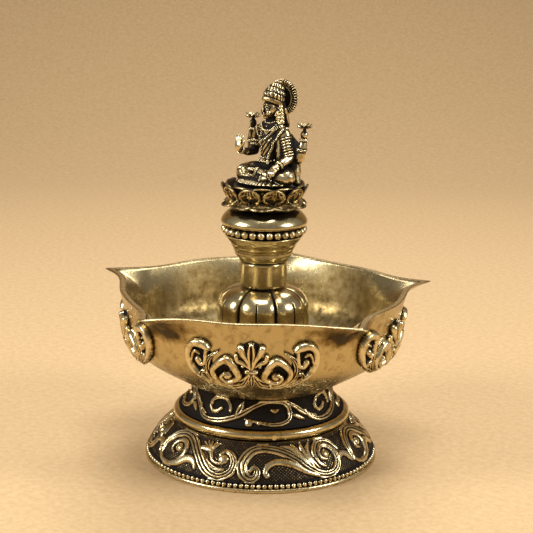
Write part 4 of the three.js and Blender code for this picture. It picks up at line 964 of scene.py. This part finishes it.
def limb(path, radii, columns=16):
    """Circles of the given radii along a path, closed by round ends."""
    line = spline(path, 6)
    radius = np.interp(np.linspace(0, 1, len(line)), np.linspace(0, 1, len(radii)), radii)
    way, across, other = frames_along(line)
    cap = np.radians([90, 60, 30])
    centres = np.vstack([line[0] - way[0] * radius[0] * np.sin(cap)[:, None], line,
                         line[-1] + way[-1] * radius[-1] * np.sin(cap[::-1])[:, None]])
    sizes = np.concatenate([radius[0] * np.cos(cap), radius, radius[-1] * np.cos(cap[::-1])])
    across = np.vstack([np.repeat(across[:1], 3, 0), across, np.repeat(across[-1:], 3, 0)])
    other = np.vstack([np.repeat(other[:1], 3, 0), other, np.repeat(other[-1:], 3, 0)])
    angle = turns(columns)[None, :, None]
    places = centres[:, None] + sizes[:, None, None] * (
        np.cos(angle) * across[:, None] + np.sin(angle) * other[:, None])
    return places.reshape(-1, 3), grid_quads(len(centres), columns)


def turned_about(places, axis, degrees, centre=(0, 0, 0)):
    """Places turned about the X, Y or Z axis (0, 1 or 2) through a centre."""
    angle = np.radians(degrees)
    first, second = [k for k in range(3) if k != axis]
    moved = np.asarray(places, float) - centre
    a, b = moved[..., first].copy(), moved[..., second].copy()
    moved[..., first] = a * np.cos(angle) - b * np.sin(angle)
    moved[..., second] = a * np.sin(angle) + b * np.cos(angle)
    return moved + centre


def orb(centre, halves, tip=0.0, turn=0.0, rows=14, columns=20):
    """A ball stretched to three half widths, tipped about X and then turned about Z, in degrees."""
    places, faces = bead_places([(0, 0, 0)], 1.0, rows, columns)
    return turned_about(turned_about(places * halves, 0, tip), 2, turn) + centre, faces


def fused(parts, voxel, passes):
    """Fuses overlapping closed parts into one skin of cells `voxel` millimetres wide, and smooths it."""
    mesh = new_mesh("wax", *merged(parts))
    wax = bpy.data.objects.new("wax", mesh)
    bpy.context.scene.collection.objects.link(wax)
    remesh = wax.modifiers.new("skin", "REMESH")
    remesh.mode = "VOXEL"
    remesh.voxel_size = voxel * MM
    skin = bpy.data.meshes.new_from_object(wax.evaluated_get(bpy.context.evaluated_depsgraph_get()))
    bpy.data.objects.remove(wax)
    quads = np.array([p.vertices[:] for p in skin.polygons if len(p.vertices) == 4])
    return smoothed(skin, passes), quads, corners_of(skin, "normal").astype(float)


# %% Her body, in millimetres from the seat
def mirrored(places, side):
    """Places on her left (side 1) or the same on her right (side -1)."""
    return [(x * side, y, z) for x, y, z in places]


HEAD_TURN, NECK = -10.0, (0, 3.4, 20.0)


def on_head(part):
    """Turns a part of the head a little to her right."""
    return turned_about(part[0], 2, HEAD_TURN, NECK), part[1]


body = [
    orb((0, 3.8, 3.2), (6.4, 4.6, 3.6)), orb((0, 0.6, 1.9), (8.4, 4.6, 2.3)),
    orb((0, -0.6, 0.9), (10.2, 8.3, 1.5)), orb((0, 3.2, 18.2), (4.6, 3.0, 2.7)),
    limb([(0, 3.2, 4.0), (0, 2.7, 8.2), (0, 3.0, 13.0)], [4.3, 3.1, 3.7]),
    orb((0, 3.1, 14.4), (4.8, 3.2, 3.8)),
    limb([(-4.7, 3.3, 17.0), (4.7, 3.3, 17.0)], [2.05, 2.05]),
    limb([(0, 3.5, 17.0), (0, 3.2, 22.0)], [2.7, 1.75]),
    limb([(5.6, 5.0, 15.0), (7.4, 5.4, 9.0), (8.2, 5.0, 4.0), (9.4, 4.6, 1.2)], [2.0, 2.3, 2.4, 1.5]),
    limb([(4.2, 2.4, 16.0), (5.0, 2.0, 10.0), (5.4, 2.0, 6.0)], [1.6, 1.7, 1.8]),
]
for side in (-1, 1):
    body += [
        orb((1.9 * side, 0.95, 14.0), (1.8, 1.8, 1.8)),
        limb(mirrored([(0.8, 3.4, 20.2), (4.4, 3.4, 17.8)], side), [1.6, 1.5]),
        limb(mirrored([(2.8, 3.6, 3.3), (6.4, 1.9, 3.5), (9.2, 0.2, 3.0)], side), [3.2, 3.1, 2.75]),
        limb(mirrored([(3.6, 5.6, 15.6), (8.0, 5.8, 12.2), (10.1, 5.4, 10.0)], side), [2.0, 1.9, 1.6]),
    ]
body += [
    limb([(-9.0, -0.6, 2.6), (-5.0, -3.6, 2.3), (2.6, -4.4, 2.0)], [2.4, 2.0, 1.35]),
    limb([(9.0, -0.6, 2.6), (5.0, -3.0, 3.4), (-0.4, -3.4, 4.3)], [2.4, 2.0, 1.2]),
    orb((4.0, -4.5, 2.4), (2.6, 1.4, 1.5), 0, 8), orb((-2.2, -3.7, 4.7), (2.2, 1.0, 0.9), 0, -6),
    limb([(-5.2, 3.2, 17.0), (-6.7, 3.4, 13.4), (-7.0, 3.0, 10.0)], [1.95, 1.75, 1.5]),
    limb([(-7.0, 3.0, 10.0), (-7.3, -0.6, 9.9), (-7.5, -4.0, 10.9)], [1.5, 1.35, 1.0]),
    orb((-7.6, -4.5, 12.4), (1.55, 0.75, 1.8), -8),
    limb([(-6.6, -4.6, 11.9), (-5.6, -4.7, 12.9), (-5.2, -4.7, 14.0)], [0.55, 0.5, 0.4]),
    limb([(5.2, 3.2, 17.0), (7.0, 3.3, 12.6), (7.9, 2.8, 9.0)], [2.0, 1.85, 1.65]),
    limb([(7.9, 2.8, 9.0), (7.7, 0.2, 7.8), (7.2, -2.2, 6.8)], [1.65, 1.45, 1.05]),
    orb((6.9, -3.0, 6.2), (1.5, 1.1, 1.2), 40),
    limb([(-10.2, 5.4, 10.0), (-10.3, 5.4, 14.0), (-9.8, 5.2, 17.4)], [1.7, 1.5, 1.0]),
    orb((-9.8, 5.2, 18.6), (1.25, 1.15, 1.4)), limb([(-9.8, 5.2, 19.0), (-9.8, 5.2, 20.4)], [0.6, 0.55]),
    limb([(9.9, 5.4, 8.9), (10.7, 5.8, 12.4), (11.0, 6.3, 15.4)], [1.8, 1.65, 1.05]),
    orb((11.0, 6.4, 16.6), (1.3, 1.15, 1.4)), limb([(11.0, 6.5, 17.2), (11.0, 6.6, 19.0)], [0.6, 0.55]),
    *[limb(mirrored([(2.5, 6.0, 24.0), (2.2, 7.6, 19.0), (1.4, 7.4, 12.0)], side), [1.3, 1.4, 0.9])
      for side in (-1, 1)],
]
for finger in range(4):
    spread = (finger - 1.5) * 0.74
    tip = 16.0 - 0.32 * abs(finger - 1.4)
    body.append(limb([(-7.65 + spread * 0.9, -4.5, 13.2), (-7.65 + spread, -4.2, 14.7),
                      (-7.65 + spread * 1.08, -3.7, tip)], [0.4, 0.38, 0.28]))
    body.append(limb([(6.7 + spread, -3.6, 5.9), (6.6 + spread, -4.7, 4.9),
                      (6.5 + spread, -4.9, 3.4 + 0.2 * finger)], [0.46, 0.42, 0.32]))
    body.append(limb([(5.4, -4.9 + 0.1 * finger, 3.4 - 0.55 * finger), (6.6, -5.0, 3.3 - 0.6 * finger)],
                     [0.42, 0.3]))
    body.append(limb([(-3.4, -4.0, 5.2 - 0.4 * finger), (-4.6, -4.1, 5.1 - 0.42 * finger)], [0.36, 0.26]))
head = [
    orb((0, 2.8, 24.5), (2.65, 3.1, 3.3)), orb((0, 1.6, 22.9), (1.95, 2.0, 1.6)),
    orb((0, 0.3, 21.75), (0.75, 0.6, 0.55)), orb((0, 5.8, 24.8), (2.6, 2.7, 3.0)),
    limb([(0, -0.2, 25.2), (0, -0.62, 24.2), (0, -0.9, 23.5)], [0.3, 0.33, 0.4]),
    orb((0, -0.05, 22.65), (0.85, 0.5, 0.55)),
]
for side in (-1, 1):
    head += [orb((1.25 * side, 0.45, 23.4), (0.95, 0.8, 1.0)), orb((2.5 * side, 3.4, 23.8), (0.5, 0.9, 1.4))]
skin_places, skin_faces, skin_normals = fused(body + [on_head(part) for part in head], 0.18, 2)
print("figure skin", len(skin_faces))


# %% Clothes pressed into the skin
def fan(places, centre, start, end, count, reach):
    """Pleats that fan out from a (side, up) centre seen from in front: a cosine of the angle round it,
    sharpened to narrow grooves. Returns 0 to 1 and the share of the fan that covers each place."""
    side, rise = places[:, 0] - centre[0], places[:, 2] - centre[1]
    angle = np.degrees(np.arctan2(rise, side)) % 360
    share = smoothstep(start, start + 8, angle) * smoothstep(end, end - 8, angle)
    far = np.hypot(side, rise)
    share = share * smoothstep(0.8, 1.6, far) * smoothstep(reach, reach - 1.2, far)
    ridge = 0.5 + 0.5 * np.cos((angle - start) / (end - start) * count * FULL_TURN)
    return ridge ** 0.6, share


front_side = smoothstep(0.1, -0.5, skin_normals[:, 1])
skin_x, skin_z = skin_places[:, 0], skin_places[:, 2]
knee_fold, knee_share = fan(skin_places, (-3.4, 7.4), 178, 262, 10, 9.6)
knee_share = knee_share * front_side * smoothstep(-2.6, -3.8, skin_x) * smoothstep(6.2, 5.4, skin_z)
lap_fold, lap_share = fan(skin_places, (0.4, 9.8), 216, 326, 17, 12.5)
lap_share = lap_share * smoothstep(0.6, 0.0, skin_normals[:, 1]) * smoothstep(5.8, 5.2, skin_z)
lap_share = lap_share * np.maximum(smoothstep(2.4, 1.8, skin_z), smoothstep(3.4, 2.6, np.abs(skin_x)))
slope = skin_z * 0.62 - skin_x * 0.78
cloth = 0.5 + 0.5 * np.cos(slope * FULL_TURN / 1.25)
cloth_share = front_side * smoothstep(8.6, 9.6, skin_z) * smoothstep(19.4, 18.6, skin_z)
cloth_share = cloth_share * smoothstep(4.9, 4.3, np.abs(skin_x))
fall = 0.5 + 0.5 * np.cos(skin_x * FULL_TURN / 1.3)
fall_share = smoothstep(0.2, 0.6, skin_normals[:, 1]) * smoothstep(1.0, 2.0, skin_z)
fall_share = fall_share * smoothstep(23.5, 22.0, skin_z) * smoothstep(6.8, 6.2, np.abs(skin_x))
press = np.zeros(len(skin_places))
groove = np.zeros(len(skin_places))
for fold, share, deep in ((knee_fold, knee_share, 0.42), (lap_fold, lap_share, 0.3),
                          (cloth, cloth_share, 0.16), (fall, fall_share, 0.2)):
    press += deep * (fold - 1) * share
    groove = np.maximum(groove, share * (1 - fold))
skin_places = skin_places + skin_normals * press[:, None]
skin_tree = BVHTree.FromPolygons(skin_places.tolist(), skin_faces.tolist())


# %% Ornaments laid on the skin
def laid_on(points):
    """Places and normals on the figure for (across, up) points: a ray is shot at each from in front."""
    hits = [skin_tree.ray_cast((x, -20.0, s), (0.0, 1.0, 0.0)) for x, s in points]
    return (np.array([hit[0] for hit in hits if hit[0] is not None]),
            np.array([hit[1] for hit in hits if hit[0] is not None]))


def studs(line, normal, half, pitch, tall, rows=6, columns=8):
    """Small domes along a path, each `half` wide across it: bars where `half` is more than the pitch."""
    way = np.gradient(line, axis=0)
    way /= np.linalg.norm(way, axis=1)[:, None]
    across = np.cross(way, normal)
    across /= np.linalg.norm(across, axis=1)[:, None]
    unit, faces = bead_places([(0, 0, 0)], 1.0, rows, columns)
    places = line[:, None] + half * unit[None, :, :1] * across[:, None]
    places = places + 0.46 * pitch * unit[None, :, 1:2] * way[:, None]
    places = places + tall * unit[None, :, 2:] * normal[:, None]
    many = faces[None] + (np.arange(len(line)) * len(unit))[:, None, None]
    return places.reshape(-1, 3), many.reshape(-1, 4)


def edging(points, half, pitch, tall=0.3):
    """A strip of studs along a path of (across, up) points laid on the figure."""
    line, normal = laid_on(even(spline(points, 6), pitch))
    return studs(line, normal, half, pitch, tall)


def hoop(centre, axis, radius, size, count=22, beads=True):
    """A ring of beads, or a plain hoop, about an axis: an armlet, a bracelet or a collar."""
    axis = np.array(axis, float) / np.linalg.norm(axis)
    first = np.cross(axis, [0.31, 0.87, 0.38])
    first /= np.linalg.norm(first)
    second = np.cross(axis, first)
    angle = turns(count)[:, None]
    circle = np.array(centre) + radius * (np.cos(angle) * first + np.sin(angle) * second)
    if beads:
        return bead_places(circle, size)
    tube = turns(8)[None, :, None]
    out = (circle - centre) / radius
    places = circle[:, None] + size * (np.cos(tube) * out[:, None] + 1.3 * np.sin(tube) * axis)
    return places.reshape(-1, 3), grid_quads(count, 8, wrap_rows=True)[:, ::-1]


def flower(centre, petals, half, beads=0.3):
    """A small flower: a button with a ring of beads round it, facing forwards."""
    angle = turns(petals)
    ring = np.array(centre) + half * np.stack([np.cos(angle), 0 * angle, np.sin(angle)], -1)
    return [orb(centre, (half * 0.6, 0.4, half * 0.6), rows=8, columns=10), bead_places(ring, beads)]


ornaments = [
    edging([(6.3, 18.6), (5.2, 17.3), (4.2, 15.7), (3.3, 13.9), (2.6, 12.2), (1.9, 10.4), (1.4, 8.6)],
           0.62, 0.52),
    edging([(4.1, 19.0), (2.5, 17.5), (0.8, 15.9), (-0.6, 14.6), (-1.9, 13.4)], 0.6, 0.52),
    edging([(-5.4, 18.2), (-4.7, 16.0), (-3.9, 13.4), (-3.3, 11.2), (-2.7, 9.2)], 0.5, 0.52),
    edging([(-3.6, 19.0), (-2.9, 17.0), (-2.2, 14.9), (-1.6, 12.8), (-1.3, 11.2)], 0.4, 0.5),
    edging([(-2.9, 19.4), (-1.5, 17.9), (0.2, 17.3), (1.8, 17.9), (3.1, 19.4)], 0.34, 0.5),
    edging([(-3.4, 8.0), (-1.7, 7.5), (0, 7.3), (1.7, 7.5), (3.4, 8.0)], 0.46, 0.62, 0.4),
    edging([(8.9, 1.3), (7.2, 2.0), (5.6, 3.6), (4.9, 5.0)], 0.26, 0.42, 0.2),
    *flower((-0.9, -0.2, 8.0), 6, 0.75), *flower((1.3, -0.3, 7.3), 6, 0.6),
    *flower((-2.6, 0.1, 7.6), 5, 0.55), *flower((0.1, 0.2, 17.0), 6, 0.6, 0.26),
    hoop((0, 3.0, 19.9), (0, -0.42, 1), 2.55, 0.3, 30), hoop((0, 3.0, 20.7), (0, -0.36, 1), 2.2, 0.24, 30),
    hoop((0, 2.8, 19.0), (0, -0.5, 1), 3.2, 0.34, 34),
]
for height in (15.2, 14.3, 13.4, 12.5, 11.6, 10.7, 9.9):
    share = (17.0 - height) / 8.0
    ornaments.append(hoop((5.2 + 2.6 * share, 3.25 - 0.2 * share, height), (0.33, 0.05, -1),
                          1.98 - 0.2 * share, 0.24, 24, False))
BANGLES = [((-7.45, -3.3, 10.7), (0, -1, 0.28), 1.2), ((7.4, -1.6, 7.1), (0, -1, -0.45), 1.3),
           ((-9.9, 5.25, 16.6), (0.1, 0, 1), 1.25), ((10.95, 6.2, 14.8), (0, 0.1, 1), 1.3),
           ((-6.8, 3.4, 12.2), (0.1, 0, 1), 1.78), ((-6.6, 3.4, 13.4), (0.1, 0, 1), 1.85),
           ((10.6, 5.7, 11.6), (0.15, 0, 1), 1.75), ((-10.3, 5.4, 12.6), (0, 0, 1), 1.65),
           ((2.4, -4.4, 2.0), (1, 0, 0), 1.45), ((-0.6, -3.5, 4.3), (1, 0.1, -0.1), 1.3)]
for centre, axis, radius in BANGLES:
    beside = np.add(centre, np.multiply(axis, 0.42))
    ornaments += [hoop(centre, axis, radius, 0.25, 18), hoop(beside, axis, radius, 0.16, 18, False)]

# %% Her face, crown and halo
face_parts = [orb((0, -0.34, 25.75), (0.2, 0.15, 0.2), rows=6, columns=8),
              limb([(-0.72, -0.28, 22.9), (0, -0.6, 22.98), (0.72, -0.28, 22.9)], [0.1, 0.17, 0.1], 10),
              limb([(-0.6, -0.26, 22.62), (0, -0.58, 22.55), (0.6, -0.26, 22.62)], [0.12, 0.2, 0.12], 10)]
for side in (-1, 1):
    face_parts += [
        limb(mirrored([(0.3, -0.3, 25.15), (1.0, -0.12, 25.5), (1.8, 0.5, 25.2)], side),
             [0.1, 0.14, 0.08], 10),
        orb((1.0 * side, 0.12, 24.5), (0.6, 0.3, 0.3), rows=8, columns=12),
        limb(mirrored([(0.4, -0.14, 24.45), (1.0, -0.22, 24.82), (1.65, 0.22, 24.5)], side),
             [0.08, 0.12, 0.08], 10),
        limb(mirrored([(0.45, -0.12, 24.4), (1.0, -0.14, 24.2), (1.6, 0.22, 24.42)], side),
             [0.07, 0.09, 0.07], 10),
        orb((0.36 * side, -0.62, 23.42), (0.26, 0.26, 0.2), rows=8, columns=10),
        orb((2.85 * side, 2.9, 22.9), (0.45, 0.85, 0.85)),
        hoop((2.95 * side, 2.9, 22.9), (1, 0, 0), 0.85, 0.2, 12),
        orb((2.95 * side, 3.0, 21.5), (0.5, 0.6, 0.75)), orb((3.0 * side, 3.0, 20.5), (0.35, 0.4, 0.4)),
    ]
    tress = mirrored([(2.6, 4.6, 25.2), (3.1, 4.6, 23.2), (3.4, 4.6, 21.6), (3.7, 4.4, 20.4)], side)
    curls = spline(tress, 6)
    face_parts.append(bead_places(even(curls, 1.15), 0.86, 8, 10))
    face_parts.append(bead_places(even(curls - [0.2 * side, 1.1, 0.5], 1.0), 0.5, 8, 10))
ornaments += [on_head(part) for part in face_parts]


CROWN_COLUMNS, CROWN_LOBES, CROWN_LEAN = 138, 17, 24
crown_line = even([(0.0, -0.6), (3.0, -0.6), (3.25, -0.3), (3.35, 0.3), (3.3, 0.72), (3.12, 0.86),
                   (3.3, 1.1), (3.5, 1.8), (3.45, 2.45), (3.2, 2.72), (3.3, 3.0), (3.15, 3.7),
                   (2.75, 4.35), (2.5, 4.5), (2.5, 4.8), (2.2, 5.6), (1.7, 6.15), (1.45, 6.25),
                   (1.4, 6.55), (1.0, 7.0), (0.5, 7.3), (0.0, 7.35)], 0.16)
crown_radius, crown_along = crown_line[:, 0][:, None], crown_line[:, 1][:, None]
crown_angle = turns(CROWN_COLUMNS)[None, :]

# Upright ribs stand on the brim, and slanting lobes on each tier fade to the lines between tiers.
lobes = np.cos(CROWN_LOBES * crown_angle + 2.2 * crown_along)
brim = smoothstep(0.9, 0.7, crown_along) * 0.1 * np.cos(46 * crown_angle)
tier = np.sin(np.pi * np.clip((crown_along - 1.0) / 1.75, 0, 3.4)) ** 2 * smoothstep(0.9, 1.1, crown_along)
crown_bulge = (brim + 0.09 * tier * lobes) * smoothstep(0.2, 0.8, crown_radius)
upright = around(crown_radius + crown_bulge, crown_along, crown_angle) * [1, 1.1, 1]
crown_places = (turned_about(upright, 0, -CROWN_LEAN) + (0, 3.2, 26.5)).reshape(-1, 3)
crown = on_head((crown_places, grid_quads(len(crown_line), CROWN_COLUMNS)))
crown_lines = sum(np.exp(-((crown_along - line) / 0.2)**2) for line in (0.84, 2.76, 4.62, 6.35))
between_lobes = 0.8 * smoothstep(-0.2, -0.9, lobes) * (crown_along > 1.0)
crown_black = np.clip(crown_lines + between_lobes, 0, 1)
ornaments.append(crown)

# %% The halo, a disc with bars round its edge
HALO_BARS, HALO_RADIUS, HALO_BACK, HALO_HEIGHT = 42, 5.93, 8.2, 27.7
halo_line = even([(0, 0.2), (3.6, 0.2), (3.75, -0.15), (4.0, -0.15), (4.1, 0.1), (4.2, -0.3),
                  (5.65, -0.4), (HALO_RADIUS, 0.0), (HALO_RADIUS, 0.9), (5.6, 1.1), (0, 1.1)], 0.2)
halo_angle = turns(HALO_BARS * 8)[None, :]
halo_r, halo_y = halo_line[:, 0][:, None], halo_line[:, 1][:, None]
gap = smoothstep(4.0, 4.2, halo_r) * smoothstep(0.35, -0.25, np.cos(HALO_BARS * halo_angle)) * (halo_y < 1.0)
deep_r, deep_y = halo_r - 0.45 * gap, halo_y + 0.5 * gap * (halo_y < 0.4)
halo_places = np.stack([deep_r * np.cos(halo_angle), HALO_BACK + deep_y + 0 * halo_angle,
                        HALO_HEIGHT + deep_r * np.sin(halo_angle)], -1)
# Black in the gaps between the bars, and painted shade over the middle of the disc, behind her head.
halo_gaps_and_shade = np.maximum(gap, 0.9 * (halo_r < 3.7)) + 0 * halo_angle
halo = (halo_places.reshape(-1, 3), grid_quads(len(halo_line), HALO_BARS * 8)[:, ::-1])


def open_lotus(centre):
    """A small open lotus: two rings of pointed petals round a button of seeds."""
    made = [orb((0, 0, 0), (0.9, 0.9, 0.6)), bead_places(around(0.6, 0.5, turns(6)), 0.24)]
    cup_path = [(0.5, -0.2), (1.2, -0.15), (1.9, 0.35), (2.35, 1.0)]
    flat_path = [(0.4, -0.45), (1.3, -0.6), (2.1, -0.35), (2.65, 0.1)]
    for first, path in ((0, flat_path), (30, cup_path)):
        ring = ring_of_petals(first, path, 0.72, 0.14, 0.2, 2, 0.05, count=6, cup=0.25, rows=10, columns=20)
        made += [shape[:2] for shape in ring]
    return [(places + centre, faces) for places, faces in made]


ornaments += [halo] + open_lotus((-9.9, 5.2, 21.0)) + open_lotus((11.0, 6.6, 19.4))


# %% Dark where polish can't reach, and painted shade where nearby metal hides the light
def near_to(places, others, reach):
    """1 beside the other places, falling to 0 at `reach` millimetres."""
    tree = KDTree(len(others))
    for number, place in enumerate(others):
        tree.insert(place, number)
    tree.balance()
    gap = np.array([tree.find(place)[2] for place in places])
    return 1 - smoothstep(0.35 * reach, reach, gap)


def shelter(places, normals, tree, reach=5.0, rays=14):
    """The share of rays from a place, spread over the half globe it faces, that meet metal in `reach`."""
    count = np.arange(rays)
    rise = 1 - (count + 0.5) / rays
    swing = count * np.pi * (3 - 5**0.5)
    spread = np.stack([np.sqrt(1 - rise**2) * np.cos(swing), np.sqrt(1 - rise**2) * np.sin(swing), rise], -1)
    result = np.zeros(len(places))
    for number, (place, normal) in enumerate(zip(places, normals)):
        away = spread * np.sign(spread @ normal)[:, None]
        start = place + normal * 0.08
        result[number] = sum(tree.ray_cast(start, way, reach)[0] is not None for way in away) / rays
    return result


all_places, all_faces = merged([(skin_places, skin_faces)] + ornaments)
all_tree = BVHTree.FromPolygons(all_places.tolist(), all_faces.tolist())
# Rays that meet nearby metal: ambient occlusion, painted in as shade as well as patina in recesses.
occluded_shade_and_patina = shelter(skin_places, skin_normals, all_tree)
beside = near_to(skin_places, np.vstack([places for places, _ in ornaments]), 0.55)
neck_shade = smoothstep(17.8, 18.8, skin_places[:, 2]) * smoothstep(21.9, 21.2, skin_places[:, 2])
neck_shade = 0.9 * neck_shade * (np.abs(skin_places[:, 0]) < 3.6)
# Her black: patina in hollows and pleats, painted shade from the rays and in a band under her chin, and
# darker beside each ornament.
skin_black = np.maximum.reduce([smoothstep(0.08, 0.5, occluded_shade_and_patina), 0.95 * beside,
                                0.95 * smoothstep(0.3, 0.8, groove), neck_shade])
piece("goddess", skin_places + [0, 0, SEAT_LEVEL], skin_faces, "column", "antique_brass", antique,
      ["goddess"], rounds=12, depth=0.12, black=skin_black)
ornament_black = [halo_gaps_and_shade.ravel() if part is halo else crown_black.ravel() if part is crown
                  else np.zeros(len(part[0])) for part in ornaments]
ornament_places, ornament_faces = merged(ornaments)
piece("goddess_ornaments", ornament_places + [0, 0, SEAT_LEVEL], ornament_faces, "column", "antique_brass",
      antique, rounds=3, depth=0.1, black=np.concatenate(ornament_black))

# %% [markdown]
# ## Parts left as the CAD made them
# The figure's screw and the ring's pin are plain turned parts, so the CAD shape is already right.

# %% Materials for the CAD nodes that stay
CAD_FINISH = {"figure_screw": satin, "ring_pin": polished, "tapped_post": satin}
for node, finish in CAD_FINISH.items():
    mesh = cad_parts[node].data
    for slot_number in range(len(mesh.materials)):
        mesh.materials[slot_number] = finish
